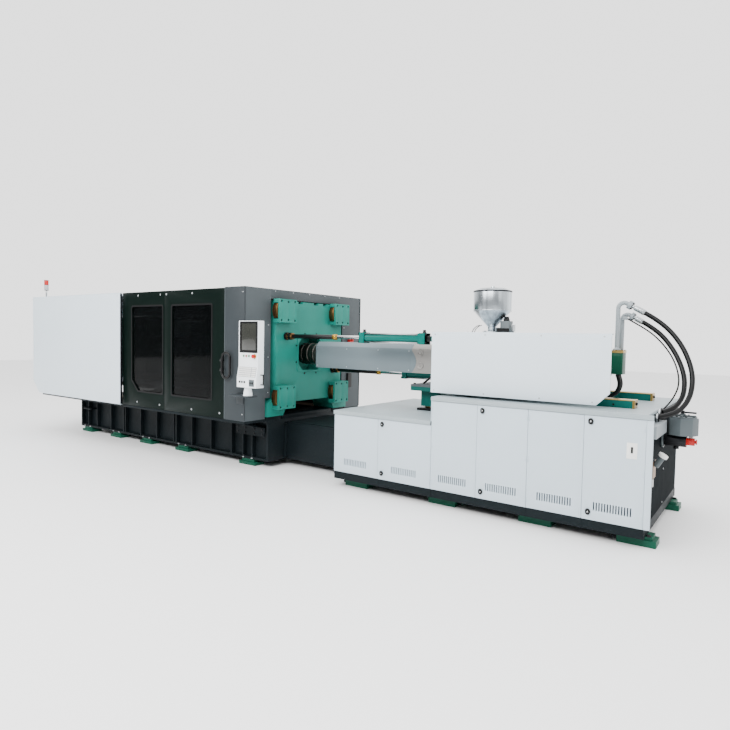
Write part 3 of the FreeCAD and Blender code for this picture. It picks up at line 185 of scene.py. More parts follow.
def paint(name, code, roughness=0.38, peel=0.05, vary=0.05, coat=0.15, dust=0.0, ior=1.45):
    """Sprayed enamel: fine orange peel, a slow drift of tone and, on some, faint dust."""
    look = Look(name, coat=coat, ior=ior)
    base = tone(code)
    drift = look.noise(1.3, 4.0)
    source = look.ramp(drift, [(0.3, shade(base, 1 - vary)), (0.7, shade(base, 1 + vary))])
    if dust:
        specks = look.ramp(look.noise(46.0, 6.0), [(0.5, (0, 0, 0, 1)), (0.85, (1, 1, 1, 1))])
        source = look.mix(look.spread(specks, 0.0, dust), source, (0.55, 0.55, 0.53, 1.0))
    look.colour(source)
    look.rough(look.spread(look.noise(9.0, 5.0), roughness - 0.05, roughness + 0.07))
    look.relief(look.noise(420.0, 2.0), peel, 0.0006)
    return look.material


def steel(name, code, roughness=0.25, grain=(1, 1, 1), scale=60.0, brushed=0.15, vary=0.12):
    """Machined metal with a directional grain."""
    look = Look(name, metallic=1.0)
    base = tone(code)
    drift = look.noise(3.0, 4.0, grain)
    look.colour(look.ramp(drift, [(0.3, shade(base, 1 - vary)), (0.7, shade(base, 1 + vary))]))
    lines = look.noise(scale, 4.0, grain)
    look.rough(look.spread(lines, max(0.04, roughness - 0.08), roughness + 0.1))
    look.relief(lines, brushed, 0.0004)
    return look.material


def plastic(name, code, roughness=0.3, texture=0.1):
    look = Look(name, coat=0.0, ior=1.35)
    base = tone(code)
    look.colour(look.ramp(look.noise(12.0, 3.0), [(0.3, shade(base, 0.94)), (0.7, shade(base, 1.06))]))
    look.rough(look.spread(look.noise(30.0, 3.0), roughness - 0.04, roughness + 0.08))
    look.relief(look.noise(900.0, 2.0), texture, 0.0003)
    return look.material


def rubber(name, code="101112", roughness=0.34):
    """Smooth hose cover with a faint cloth-wrap texture."""
    look = Look(name, coat=0.0, ior=1.28)
    base = tone(code)
    look.colour(look.ramp(look.noise(14.0, 4.0), [(0.3, shade(base, 0.8)), (0.75, shade(base, 1.35))]))
    look.rough(look.spread(look.noise(60.0, 4.0), roughness - 0.06, roughness + 0.1))
    look.relief(look.noise(520.0, 2.0), 0.12, 0.0005)
    return look.material


def casting(name, code, roughness=0.5):
    """Painted casting: lumpy skin under the enamel."""
    look = Look(name, coat=0.0, ior=1.25)
    base = tone(code)
    cloud = look.noise(2.2, 5.0)
    look.colour(look.ramp(cloud, [(0.28, shade(base, 0.86)), (0.72, shade(base, 1.12))]))
    look.rough(look.spread(look.noise(14.0, 5.0), roughness - 0.1, roughness + 0.08))
    look.relief(look.noise(55.0, 4.0), 0.16, 0.002)
    look.relief(look.noise(380.0, 2.0), 0.06, 0.0006)
    return look.material


def tinted(name):
    """Dark glossy polycarbonate that lets a little of the inside through."""
    look = Look(name, ior=1.15)
    look.colour(tone("0C0F10"))
    look.rough(look.spread(look.noise(5.0, 3.0), 0.03, 0.07))
    look.shader.inputs["Transmission Weight"].default_value = 0.55
    look.shader.inputs["Alpha"].default_value = 0.86
    return look.material


def glow(name, code, strength):
    """A lit screen area whose colour is painted lighter towards the top, a painted sheen."""
    look = Look(name, coat=0.5)
    base = tone(code)
    # painted sheen: the screen's colour grows lighter from its bottom edge to its top edge
    look.colour(look.ramp(look.height(1.48, 1.82), [(0.0, shade(base, 0.8)), (1.0, shade(base, 1.15))]))
    look.rough(0.18)
    look.shader.inputs["Emission Color"].default_value = base
    look.shader.inputs["Emission Strength"].default_value = strength
    return look.material


WHITE = paint("white_enamel", "D4E0E8", 0.36, 0.05, 0.015, 0.08)
CABINET = paint("cabinet_enamel", "BCCAD3", 0.40, 0.06, 0.02, 0.05)
DARK = paint("dark_door_enamel", "081310", 0.36, 0.06, 0.08, 0.0, ior=1.15)
GREY = paint("column_enamel", "303538", 0.42, 0.08, 0.05, 0.0, ior=1.25)
TANK_END = paint("tank_end_enamel", "0C1215", 0.7, 0.05, 0.1, 0.0, ior=1.08)
# a lighter copy of the column grey: painted light on the column's faces turned to the right end and a painted
# highlight strip beside the door; the pedestal's grey wear pieces take it as their own colour
LIT_SIDE_AND_WEAR_GREY = paint("lit_side_and_wear_grey", "474D50", 0.42, 0.08, 0.04, 0.0, ior=1.25)
BED = paint("bed_enamel", "10171A", 0.5, 0.1, 0.15, 0.0, dust=0.01, ior=1.2)
GREEN = casting("platen_enamel", "1F7A6D", 0.4)
TEAL = casting("cylinder_enamel", "005A52", 0.36)
PEDESTAL = casting("pedestal_enamel", "004F48", 0.36)
FOOT = casting("foot_enamel", "0A4A38", 0.42)
DEEP_GREEN = casting("motor_enamel", "03402E", 0.38)
COVER = paint("barrel_cover_enamel", "667277", 0.33, 0.05, 0.03, 0.08, ior=1.3)
COVER_REAR = paint("rear_cover_enamel", "83807C", 0.4, 0.05, 0.03, 0.05)
TOP = paint("top_plate_enamel", "99A4A8", 0.4, 0.05, 0.03, 0.0, ior=1.2)
MACHINE_GREY = paint("fitting_enamel", "50585B", 0.38, 0.08, 0.05, 0.05, ior=1.3)
# a darker copy of the cabinet enamel: painted shade on the panels' side return and on the tray at the right
# end, which face the right end
SHADED_RETURN_GREY = paint("shaded_return_enamel", "8A9296", 0.4, 0.06, 0.03, 0.03, ior=1.3)
PIPE_GREY = paint("pipe_enamel", "8D9599", 0.35, 0.06, 0.04, 0.1)
PANEL = paint("panel_enamel", "EFF5F8", 0.34, 0.05, 0.01, 0.1)
CHROME = steel("chrome_bar", "D8DADB", 0.10, (1, 1, 1), 40.0, 0.02, 0.04)
RAM = steel("ground_bar", "B9BCBE", 0.18, (1, 1, 1), 40.0, 0.04, 0.06)
STAINLESS = steel("brushed_stainless", "AEB5BA", 0.26, (7, 7, 0.12), 1.0, 0.03, 0.4)
BRONZE = steel("bronze_nut", "7A5A3A", 0.36, (1, 1, 1), 60.0, 0.2, 0.16)
BRASS = steel("brass_strip", "A78A52", 0.32, (1, 1, 1), 60.0, 0.12, 0.10)
GOLD = steel("gold_ring", "B08A3C", 0.26, (1, 1, 1), 60.0, 0.1, 0.08)
ZINC = steel("zinc_fitting", "AEB2B4", 0.3, (1, 1, 1), 80.0, 0.12, 0.10)
BLACKENED = steel("blackened_steel", "2A2B2D", 0.42, (1, 1, 1), 80.0, 0.15, 0.2)
NOZZLE = steel("barrel_steel", "4A4744", 0.34, (1, 1, 1), 70.0, 0.15, 0.18)
BLACK = plastic("gloss_black", "08090A", 0.32)
WHITE_PLASTIC = plastic("matt_white", "E6E6E3", 0.38)
RED = plastic("red_plastic", "B01E1C", 0.28)
AMBER = plastic("amber_plastic", "B8741C", 0.28)
GREEN_PLASTIC = plastic("green_plastic", "2C8A4C", 0.28)
GREY_PLASTIC = plastic("grey_plastic", "A9ADB0", 0.36)
RUBBER = rubber("hose_cover", "08090A")
GASKET = rubber("window_gasket", "0B0C0D", 0.5)
PANE = tinted("smoked_pane")
SCREEN = glow("lit_screen", "2B2C28", 0.02)
GLASS_WHITE = plastic("sight_glass", "D9DDDA", 0.2)

# ---------------------------------------------------------------- mesh tools
# how an outline's (a, b) and a level along the axis become x, y, z
ORDERS = {
    "x": lambda a, b, level: (level, a, b),
    "y": lambda a, b, level: (a, level, b),
    "z": lambda a, b, level: (a, b, level),
}


class Mesh:
    """Collects shapes in machine millimetres into one piece that rides on a body."""

    def __init__(self, name, body):
        self.name = name
        self.body = body
        self.mesh = bmesh.new()
        self.materials = []

    def slot(self, material):
        if material not in self.materials:
            self.materials.append(material)
        return self.materials.index(material)

    def take(self, part, material, bevel, segments=2, smooth=False):
        """Bevels a small mesh's sharp edges and adds it."""
        if bevel:
            sharp = [e for e in part.edges if len(e.link_faces) == 2 and e.calc_face_angle(0) > 0.6]
            bmesh.ops.bevel(part, geom=sharp, offset=bevel, segments=segments, affect="EDGES", profile=0.6,
                            clamp_overlap=True)
        index = self.slot(material)
        for face in part.faces:
            face.material_index = index
            face.smooth = smooth
        data = bpy.data.meshes.new("part")
        part.to_mesh(data)
        part.free()
        self.mesh.from_mesh(data)
        bpy.data.meshes.remove(data)

    def block(self, material, x, y, z, bevel=2.0, turn=None):
        """A box between limits, its edges rounded."""
        part = bmesh.new()
        bmesh.ops.create_cube(part, size=1.0)
        size = Vector((x[1] - x[0], y[1] - y[0], z[1] - z[0]))
        middle = Vector(((x[0] + x[1]) / 2, (y[0] + y[1]) / 2, (z[0] + z[1]) / 2))
        bmesh.ops.scale(part, vec=size, verts=part.verts)
        if turn is not None:
            bmesh.ops.rotate(part, matrix=turn, verts=part.verts)
        bmesh.ops.translate(part, vec=middle, verts=part.verts)
        self.take(part, material, bevel)

    def lathe(self, material, centre, direction, profile, steps=32, smooth=True, bevel=0.0):
        """Turns (distance along, radius) pairs about a direction through centre."""
        part = bmesh.new()
        direction = Vector(direction).normalized()
        turn = direction.to_track_quat("Z", "Y").to_matrix()
        rings = []
        for along, radius in profile:
            ring = []
            for step in range(steps):
                angle = 2 * math.pi * step / steps
                local = Vector((radius * math.cos(angle), radius * math.sin(angle), along))
                ring.append(part.verts.new(turn @ local + Vector(centre)))
            rings.append(ring)
        for low, high in zip(rings, rings[1:]):
            for step in range(steps):
                after = (step + 1) % steps
                part.faces.new((low[step], low[after], high[after], high[step]))
        part.faces.new(list(reversed(rings[0])))
        part.faces.new(rings[-1])
        self.take(part, material, bevel, smooth=smooth)

    def outline(self, material, points, axis, low, high, bevel=2.0):
        """Extrudes a closed outline of (a, b) points along an axis between two limits."""
        part = bmesh.new()
        order = ORDERS[axis]
        near = [part.verts.new(order(a, b, low)) for a, b in points]
        far = [part.verts.new(order(a, b, high)) for a, b in points]
        part.faces.new(near)
        part.faces.new(list(reversed(far)))
        count = len(points)
        for i in range(count):
            part.faces.new((near[i], far[i], far[(i + 1) % count], near[(i + 1) % count]))
        bmesh.ops.recalc_face_normals(part, faces=part.faces)
        self.take(part, material, bevel)

    def frame_ring(self, material, points_out, points_in, axis, low, high, bevel=1.5):
        """A flat ring between two outlines with the same number of points."""
        part = bmesh.new()
        order = ORDERS[axis]
        edges = ((points_out, low), (points_out, high), (points_in, high), (points_in, low))
        loops = [[part.verts.new(order(a, b, level)) for a, b in points] for points, level in edges]
        count = len(points_out)
        for first, second in zip(loops, loops[1:] + loops[:1]):
            for i in range(count):
                part.faces.new((first[i], first[(i + 1) % count], second[(i + 1) % count], second[i]))
        bmesh.ops.recalc_face_normals(part, faces=part.faces)
        self.take(part, material, bevel)

    def cap_screw(self, material, centre, direction, radius, height=4.0):
        """A domed screw head with a hexagon socket."""
        direction = Vector(direction).normalized()
        self.lathe(material, centre, direction,
                   [(-1.0, radius), (height * 0.5, radius), (height * 0.9, radius * 0.86),
                    (height, radius * 0.55), (height * 0.6, radius * 0.45)], steps=16)

    def hexagon(self, material, centre, direction, radius, height):
        """A hexagon bolt head or nut with chamfered corners."""
        self.lathe(material, centre, direction,
                   [(0.0, radius), (height * 0.8, radius), (height, radius * 0.88)], steps=6, smooth=False)

    def done(self):
        for vertex in self.mesh.verts:
            vertex.co = at(*vertex.co)
        data = bpy.data.meshes.new(self.name)
        self.mesh.to_mesh(data)
        self.mesh.free()
        for material in self.materials:
            data.materials.append(material)
        item = bpy.data.objects.new(self.name, data)
        bpy.context.scene.collection.objects.link(item)
        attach(item, self.body)
        return item


def rounded(x0, x1, z0, z1, radius, cuts=5, chamfer=None):
    """A rectangle's outline with rounded corners, one of which may be a large chamfer (left low)."""
    points = []
    corners = [(x0 + radius, z0 + radius, 180), (x1 - radius, z0 + radius, 270),
               (x1 - radius, z1 - radius, 0), (x0 + radius, z1 - radius, 90)]
    for number, (cx, cz, start) in enumerate(corners):
        if number == 0 and chamfer:
            points.append((x0, z0 + chamfer))
            points.append((x0 + chamfer, z0))
            for extra in range(1, cuts):
                points.append((x0 + chamfer + extra * 2.0, z0))
            continue
        for step in range(cuts + 1):
            angle = math.radians(start + 90 * step / cuts)
            points.append((cx + radius * math.cos(angle), cz + radius * math.sin(angle)))
    return points


def look_node(name, material, bevel=0.0, angle=35, faces=None, segments=2):
    """Gives a CAD node its material, welds its facets and softens its edges."""
    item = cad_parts[name]
    item.data.materials.clear()
    item.data.materials.append(material)
    if faces:
        for test, other in faces:
            item.data.materials.append(other)
            index = len(item.data.materials) - 1
            for polygon in item.data.polygons:
                if test(to_machine(polygon.center)):
                    polygon.material_index = index
    weld = item.modifiers.new("weld", "WELD")
    weld.merge_threshold = 0.00002
    if bevel:
        soft = item.modifiers.new("bevel", "BEVEL")
        soft.width = bevel * MM
        soft.segments = segments
        soft.limit_method = "ANGLE"
        soft.angle_limit = math.radians(angle)
        soft.harden_normals = False
        soft.use_clamp_overlap = True
    item.data.shade_smooth()
    split = item.modifiers.new("edges", "EDGE_SPLIT")
    split.split_angle = math.radians(32)
    return item


# ---------------------------------------------------------------- CAD nodes
FERRULE_A = (4118.0, 0.0, 1941.0)
FERRULE_B = (4085.0, 96.0, 1860.0)
CABLE_GLAND = (3950.0, 48.0, 1895.7)
SLOPE = math.radians(30)
LEAD = Vector((math.cos(SLOPE), 0.0, -math.sin(SLOPE)))


def beyond(point, distance):
    """A point a distance past a fitting, along its slant."""
    return tuple(Vector(point) + LEAD * distance)


def on_ferrule(p):
    """Whether a face belongs to a crimped ferrule or its neck."""
    for start, reach in ((FERRULE_A, 131), (FERRULE_B, 93)):
        offset = p - Vector(start)
        along = offset.dot(LEAD)
        if -reach < along < 1 and (offset - LEAD * along).length < 30:
            return True
    return False


look_node("hood_panels", WHITE, 5)
look_node("front_door", DARK, 3, faces=[(lambda p: p.y < -1151, BLACK)])
look_node("rear_door", DARK, 3, faces=[(lambda p: p.y > 1151, BLACK)])
look_node("front_window", PANE)
look_node("rear_window", PANE)
# the column's faces turned to the right end take the lighter grey copy, painted light
look_node("guard_frame", GREY, 4, faces=[
    (lambda p: p.x > -1, LIT_SIDE_AND_WEAR_GREY),
    (lambda p: p.x > 0.5 and p.z > 1500, RED),
    (lambda p: p.x > 0.5 and p.z < 1200, BLACK)])
# the deck under the guards takes the dark bed enamel, which also stands in for the shade beneath the guards'
# overhang
look_node("guard_deck", BED, 3)
look_node("signal_light", ZINC, 1, faces=[
    (lambda p: p.z > 2457, RED), (lambda p: 2367 < p.z < 2457, GREY_PLASTIC), (lambda p: p.z < 2247, BLACK)])
look_node("clamp_bed", BED, 3)
look_node("bed_extension", BED, 3)
look_node("bed_pads", FOOT, 4)
look_node("base_feet", FOOT, 4, faces=[(lambda p: p.x < 1230 or 4055 < p.x < 4100, BLACKENED)])
look_node("lifting_hooks", BED)
look_node("wear_rails", BRONZE, 2, faces=[(lambda p: p.z < 654.5, BED)])
look_node("fixed_platen", GREEN, 7, segments=3)
look_node("moving_platen", GREEN, 5)
look_node("cylinder_platen", GREEN, 5)
look_node("clamp_cylinder", TEAL, 3)
look_node("clamp_ram", RAM)
look_node("tie_bars", CHROME)
look_node("tie_bar_nuts", BRONZE, 3)
look_node("nut_boxes", GREEN, 6, segments=3)
look_node("socket_screws", BLACKENED)
look_node("panel_case", PANEL, 2, faces=[(lambda p: p.x > 359, BLACK)])
look_node("panel_screen", SCREEN, 1)
look_node("panel_stop", RED, 2, faces=[(lambda p: p.y > -1288, BLACK)])
look_node("panel_button_1", GREEN_PLASTIC, 1)
look_node("panel_button_2", RED, 1)
look_node("panel_button_3", GREEN_PLASTIC, 1)
look_node("panel_bracket", GREY, 2)
# the frame's bottom below the cabinet doors takes the dark bed enamel: a dark plinth that also stands in for
# the shade under the doors
look_node("base_frame", CABINET, 2, faces=[(lambda p: p.x > 4319, BED), (lambda p: p.z < 172, BED)])
# the panels' side return facing the right end takes the darker copy of the cabinet enamel, painted shade
look_node("base_panels", CABINET, 2, faces=[(lambda p: p.x > 4364, SHADED_RETURN_GREY)])
look_node("base_tops", TOP, 4)
for number in range(1, 7):
    look_node(f"cabinet_door_{number}", CABINET, 2, faces=[
        (lambda p: p.y < -854.5, BLACK), (lambda p: p.y < -854.5 and p.x > 4100, WHITE_PLASTIC)])
look_node("main_switch", BLACK, 1)
look_node("guide_rails", TEAL, 2, faces=[
    (lambda p: p.z > 1160.5 or p.x > 4135.5, BRASS)])
look_node("pedestal", PEDESTAL, 3, faces=[
    (lambda p: p.z > 1125.5, LIT_SIDE_AND_WEAR_GREY), (lambda p: p.z > 1151, BLACK),
    (lambda p: 878 < p.z < 900 and (p.xy - Vector((1950, 0))).length < 125, BRONZE),
    (lambda p: p.z < 878.5, BLACKENED)])
look_node("tank_fittings", MACHINE_GREY, 2, faces=[
    # the tray at the right end takes the same darker grey, painted shade
    (lambda p: p.x < 4381 and 899 < p.z < 1001 and p.y < -299, SHADED_RETURN_GREY),
    (lambda p: 735 < p.z < 862 and p.y > -210, BLACKENED),
    (lambda p: p.x > 4519 and p.z < 850, RED),
    (lambda p: p.z < 690 and p.x < 4340, BRONZE), (lambda p: p.z < 531, GLASS_WHITE),
    (lambda p: p.z > 1001 and p.x < 4345, BLACKENED)])
look_node("filter_handle", BLACKENED)
look_node("filler_cap", WHITE_PLASTIC, 2)
look_node("carriage_rods", CHROME, 1, faces=[
    (lambda p: p.x < 56, BLACKENED), (lambda p: 56 <= p.x < 86 or 120 < p.x < 150, BRONZE),
    (lambda p: 86 <= p.x <= 120, BLACKENED), (lambda p: 150 <= p.x < 805, BLACK),
    (lambda p: 805 <= p.x <= 850, GOLD)])
look_node("carriage_cylinders", TEAL, 3, faces=[(lambda p: 2090 < p.x < 2150, BLACK)])
look_node("barrel", NOZZLE, 2)
look_node("barrel_covers", COVER, 3, faces=[(lambda p: p.x > 1740.2, COVER_REAR)])
look_node("injection_housing", TEAL, 3)
look_node("screw", ZINC)
look_node("motor_block", DEEP_GREEN, 2, faces=[(lambda p: p.z > 1566.5, BRASS), (lambda p: p.x < 3831, TEAL)])
look_node("supply_pipes", PIPE_GREY, 2, faces=[(on_ferrule, ZINC)])
look_node("injection_cover", WHITE, 4)
look_node("hopper", STAINLESS, 1, faces=[(lambda p: p.x > 2732 and p.z < 1870, MACHINE_GREY)])
look_node("hopper_lid", STAINLESS, 2)

# ---------------------------------------------------------------- guard details
WINDOWS = ((-2320, -1600, 150), (-1400, -590, None))
for side in (-1, 1):
    body = "front_door" if side < 0 else "rear_door"
    face = DOOR_Y if side < 0 else -DOOR_Y
    trim = Mesh(f"{body}_gaskets", body)
    for left, right, chamfer in WINDOWS:
        wide = rounded(left - 16, right + 16, 839, 2058, 34, chamfer=chamfer and chamfer + 10)
        narrow = rounded(left + 6, right - 6, 861, 2036, 26, chamfer=chamfer and chamfer - 2)
        trim.frame_ring(GASKET, wide, narrow, "y", face, face + side * 5, 1.5)
    trim.done()
    heads = Mesh(f"{body}_screws", body)
    for x, z in ((-2167, 2192), (-1651, 2192), (-1520, 2192), (-974, 2192), (-2194, 699), (-1667, 699),
                 (-982, 699), (-435, 699)):
        heads.cap_screw(ZINC, (x, face, z), (0, side, 0), 13, 6)
    heads.done()
    pull = Mesh(f"{body}_pull_plates", body)
    for z in (1180, 1416):
        pull.block(BLACK, (-392, -360), sorted((face + side * 9, face)), (z - 26, z + 26), 2)
        for level in (-15, 15):
            pull.cap_screw(ZINC, (-376, face + side * 9, z + level), (0, side, 0), 5, 3)
    pull.done()

hood = Mesh("hood_trim", "machine")
for side in (-1, 1):
    outer = side * HOOD_SIDE
    hood.block(WHITE, (-5174, -2538), sorted((outer, outer - side * 28)), (2234, 2243), 2)
    hood.block(GREY, (-2541, -2535), sorted((outer + side * 0.5, outer - side * 30)), (640, 2232), 1)
for x in (-5100, -4450, -3800, -3150, -2600):
    for side in (-1, 1):
        hood.cap_screw(WHITE, (x, side * HOOD_SIDE, 2205), (0, side, 0), 9, 3)
        hood.cap_screw(WHITE, (x if x > -5000 else -4950, side * HOOD_SIDE, 662), (0, side, 0), 9, 3)
hood.done()

column = Mesh("column_trim_and_highlight_strip", "machine")
for side in (-1, 1):
    face = side * 1150
    # a lighter grey strip along the column's edge beside the door: a painted highlight
    column.block(LIT_SIDE_AND_WEAR_GREY, (-354, -342), sorted((face, face + side * 3)), (640, 2242), 1)
    column.block(GREY, (-8, 6), sorted((face - side * 10, face + side * 3)), (640, 2242), 2)
    for z in (720, 1230, 1700, 2180):
        column.cap_screw(ZINC, (-30, face, z), (0, side, 0), 8, 4)
for y in (-640, -320, 0, 320, 640):
    column.cap_screw(ZINC, (0, y, 2225), (1, 0, 0), 8, 4)
for z in (960, 1400, 1800):
    for side in (-1, 1):
        column.cap_screw(ZINC, (0, side * 760, z), (1, 0, 0), 8, 4)
column.done()

lamp = Mesh("signal_light_rings", "machine")
for z in (2366, 2456, 2530):
    lamp.lathe(BLACK, (-4997, -1060, z - 4), (0, 0, 1), [(0, 33), (1, 36), (6, 36), (6, 30)], steps=28)
lamp.done()

# ---------------------------------------------------------------- clamp bed details
bed = Mesh("bed_bolts", "machine")
for start in (-4420, -3560, -2745, -1870, -520):
    for side in (-1, 1):
        for along in (70, 230):
            spot = (start + along, side * 735, 80)
            bed.lathe(BLACKENED, spot, (0, 0, 1),
                      [(0, 20), (3, 22), (6, 22), (6, 13), (34, 13), (36, 11)], steps=20)
            bed.hexagon(ZINC, (spot[0], spot[1], 86), (0, 0, 1), 20, 14)
bed.done()

plates = Mesh("bed_side_plates", "machine")
for side in (-1, 1):
    face = side * BED_SIDE
    plates.block(BED, (-577, -52), sorted((face, face + side * 14)), (392, 508), 3)
    for x in (-540, -400, -230, -90):
        for z in (420, 480):
            plates.hexagon(BLACKENED, (x, face + side * 14, z), (0, side, 0), 13, 9)
    plates.block(BED, (-4460, -10), sorted((face, face + side * 8)), (572, 600), 2)
plates.done()

extension = Mesh("extension_joint", "machine")
for side in (-1, 1):
    for x in (20, 1110):
        extension.block(BED, (x - 14, x + 26), sorted((side * 440, side * 462)), (100, 545), 3)
    for z in (200, 360, 500):
        extension.hexagon(BLACKENED, (1116, side * 462, z), (0, side, 0), 12, 9)
extension.block(BED, (40, 1130), (-400, 400), (560, 566), 2)
extension.done()

# ---------------------------------------------------------------- platen details
platen = Mesh("platen_pocket_rim", "machine")
platen.frame_ring(GREEN, rounded(-262, 262, AXIS_Z - 244, AXIS_Z + 244, 40),
                  rounded(-238, 238, AXIS_Z - 220, AXIS_Z + 220, 24), "x", 29, 36, 2)
for angle in range(0, 360, 45):
    y = 300 * math.cos(math.radians(angle + 22.5))
    z = AXIS_Z + 282 * math.sin(math.radians(angle + 22.5))
    platen.cap_screw(BLACKENED, (30, y, z), (1, 0, 0), 12, 7)
platen.done()

ring = Mesh("barrel_head_rings", "carriage")
for x, radius in ((-40, 143), (60, 143), (160, 143), (240, 143)):
    ring.lathe(NOZZLE, (x, 0, AXIS_Z), (1, 0, 0),
               [(0, radius - 6), (2, radius), (34, radius), (36, radius - 6)], steps=48)
for angle in range(0, 360, 45):
    y = 122 * math.cos(math.radians(angle))
    z = AXIS_Z + 122 * math.sin(math.radians(angle))
    ring.cap_screw(BLACKENED, (-87, y, z), (-1, 0, 0), 11, 8)
ring.done()

# ---------------------------------------------------------------- operator panel
PANEL_Y = -1270.0
LOWER_Y = -1295.0
hmi = Mesh("panel_screen_bezel", "operator_panel")
hmi.frame_ring(BLACK, rounded(56, 352, 1466, 1826, 10), rounded(84, 322, 1496, 1804, 6), "y",
               PANEL_Y - 4, PANEL_Y - 0.5, 1)
hmi.done()
keys = Mesh("panel_keypad", "operator_panel")
KEYPAD_TOP = 1310.0
KEYPAD_RISE = 25.0 / 130.0
lean = Matrix.Rotation(-math.atan(KEYPAD_RISE), 3, "X")


def on_keypad(material, x, z, tall, proud):
    """A block on the panel's sloping keypad face, centred on a height."""
    y = PANEL_Y - (KEYPAD_TOP - z) * KEYPAD_RISE
    keys.block(material, x, (y - proud, y + 1), (z - tall / 2, z + tall / 2), 0.8, turn=lean)


on_keypad(GREY_PLASTIC, (54, 342), 1245, 116, 1.5)
for row in range(5):
    z = 1201 + row * 22
    for column_number in range(8):
        x = 60 + column_number * 25
        on_keypad(WHITE_PLASTIC, (x, x + 21), z, 15, 4)
    on_keypad(WHITE_PLASTIC, (272, 336), z, 15, 4)
keys.done()
collars = Mesh("panel_button_collars", "operator_panel")
for x in (125, 169, 213):
    collars.lathe(ZINC, (x, PANEL_Y, 1428), (0, -1, 0), [(0, 15), (3, 15), (4, 13), (4, 9.6)], steps=28)
collars.lathe(AMBER, (303, PANEL_Y, 1428), (0, -1, 0), [(0, 27), (1.5, 27), (2, 25), (2, 12)], steps=32)
for x in (86, 126, 166):
    collars.lathe(BLACK, (x, LOWER_Y, 1128), (0, -1, 0), [(0, 13), (5, 13), (7, 11), (7, 2)], steps=24)
collars.done()
sockets = Mesh("panel_socket_block", "operator_panel")
sockets.block(MACHINE_GREY, (240, 322), (LOWER_Y - 3, LOWER_Y + 10), (1083, 1159), 3)
for x in (262, 300):
    sockets.lathe(BLACK, (x, LOWER_Y - 3, 1121), (0, -1, 0), [(0, 13), (3, 13), (3, 10), (1, 9)], steps=24)
sockets.done()

# ---------------------------------------------------------------- injection unit details
clamps = Mesh("barrel_cover_clamps", "carriage")
for side in (-1, 1):
    for z in (1512, 1362):
        clamps.lathe(COVER_REAR, (1851, side * 199, z), (0, side, 0),
                     [(0, 44), (6, 44), (9, 40), (9, 30), (5, 28), (5, 12), (12, 10), (14, 6)], steps=36)
    curve_points = [(1740 + 58 * math.sin(math.radians(angle)), AXIS_Z - 165 + 255 * angle / 180)
                    for angle in range(0, 181, 12)]
    clamps.outline(COVER, [(1735, AXIS_Z - 165)] + curve_points[1:-1] + [(1735, AXIS_Z + 90)], "y",
                   *sorted((side * 199, side * 202)), bevel=0.6)
clamps.done()

cover_screws = Mesh("barrel_cover_screws", "carriage")
for side in (-1, 1):
    for x in (330, 800, 1270, 1700, 2250):
        for z in (1300, 1520):
            cover_screws.cap_screw(ZINC, (x, side * 200, z), (0, side, 0), 7, 3)
for x in (1010, 1742):
    cover_screws.block(COVER, (x - 3, x + 3), (-140, 140), (1601, 1603.5), 0.8)
cover_screws.done()

jacks = Mesh("carriage_cylinder_fittings", "carriage")
for y, z, side in ((-470, 1664, -1), (470, 1210, 1)):
    for x in (1225, 2020):
        jacks.block(TEAL, (x, x + 70), (y - 62, y + 62), (z - 62, z + 62), 4)
        for dy in (-46, 46):
            for dz in (-46, 46):
                if x == 1225:
                    jacks.lathe(ZINC, (x + 68, y + dy, z + dz), (1, 0, 0), [(0, 8), (729, 8)], steps=12)
                jacks.hexagon(BLACKENED, (x - 12 if x == 1225 else x + 69, y + dy, z + dz), (1, 0, 0), 15, 8)
    for x in (1262, 2054):
        jacks.lathe(BLACK, (x, y, z + 60), (0, 0, 1),
                    [(0, 22), (10, 22), (10, 17), (34, 17), (36, 14)], steps=20)
    jacks.lathe(ZINC, (1212, y, z), (1, 0, 0), [(0, 30), (10, 34), (14, 34)], steps=32)
jacks.done()

rods = Mesh("carriage_rod_nuts", "machine")
for y, z in ((-470, 1664), (470, 1210)):
    rods.hexagon(BRONZE, (57, y, z), (1, 0, 0), 46, 27)
    rods.hexagon(BRONZE, (121, y, z), (1, 0, 0), 46, 27)
    for dy in (-36, 36):
        for dz in (-36, 36):
            rods.cap_screw(BLACKENED, (56, y + dy, z + dz), (1, 0, 0), 8, 7)
rods.done()

shield = Mesh("injection_cover_screws", "carriage")
for x in (2320, 2860, 3400, 3940):
    shield.cap_screw(ZINC, (x, SHIELD_Y, 1712), (0, -1, 0), 7, 3)
    shield.cap_screw(ZINC, (x if x < 3900 else 3860, SHIELD_Y, 1148), (0, -1, 0), 7, 3)
for x, y in ((2420, -180), (2470, -180), (2460, 120)):
    shield.hexagon(ZINC, (x, y, 1738), (0, 0, 1), 12, 10)
shield.done()

hopper = Mesh("hopper_bands", "carriage")
hopper.lathe(BLACKENED, (HOPPER_X, 0, 2176), (0, 0, 1), [(0, 200), (1, 205), (13, 205), (14, 200)], steps=72)
hopper.lathe(STAINLESS, (HOPPER_X, 0, 1971), (0, 0, 1), [(0, 197), (2, 203), (12, 203), (14, 200)], steps=72)
hopper.lathe(STAINLESS, (HOPPER_X, 0, 1739), (0, 0, 1), [(0, 92), (2, 96), (16, 96), (18, 92)], steps=48)
for angle in range(0, 360, 60):
    x = HOPPER_X + 84 * math.cos(math.radians(angle))
    y = 84 * math.sin(math.radians(angle))
    hopper.hexagon(ZINC, (x, y, 1757), (0, 0, 1), 9, 8)
hopper.done()

wires = Mesh("hopper_latch_wires", "carriage")
for shift in (0, 26):
    path = ((2410 + shift, -60), (2430 + shift, -20), (2462 + shift, 10), (2500 + shift, 22))
    for (x0, lift0), (x1, lift1) in zip(path, path[1:]):
        start = Vector((x0, -60, 1800 + lift0))
        end = Vector((x1, -60, 1800 + lift1))
        wires.lathe(BLACK, start, end - start, [(0, 4), ((end - start).length, 4)], steps=10)
wires.done()

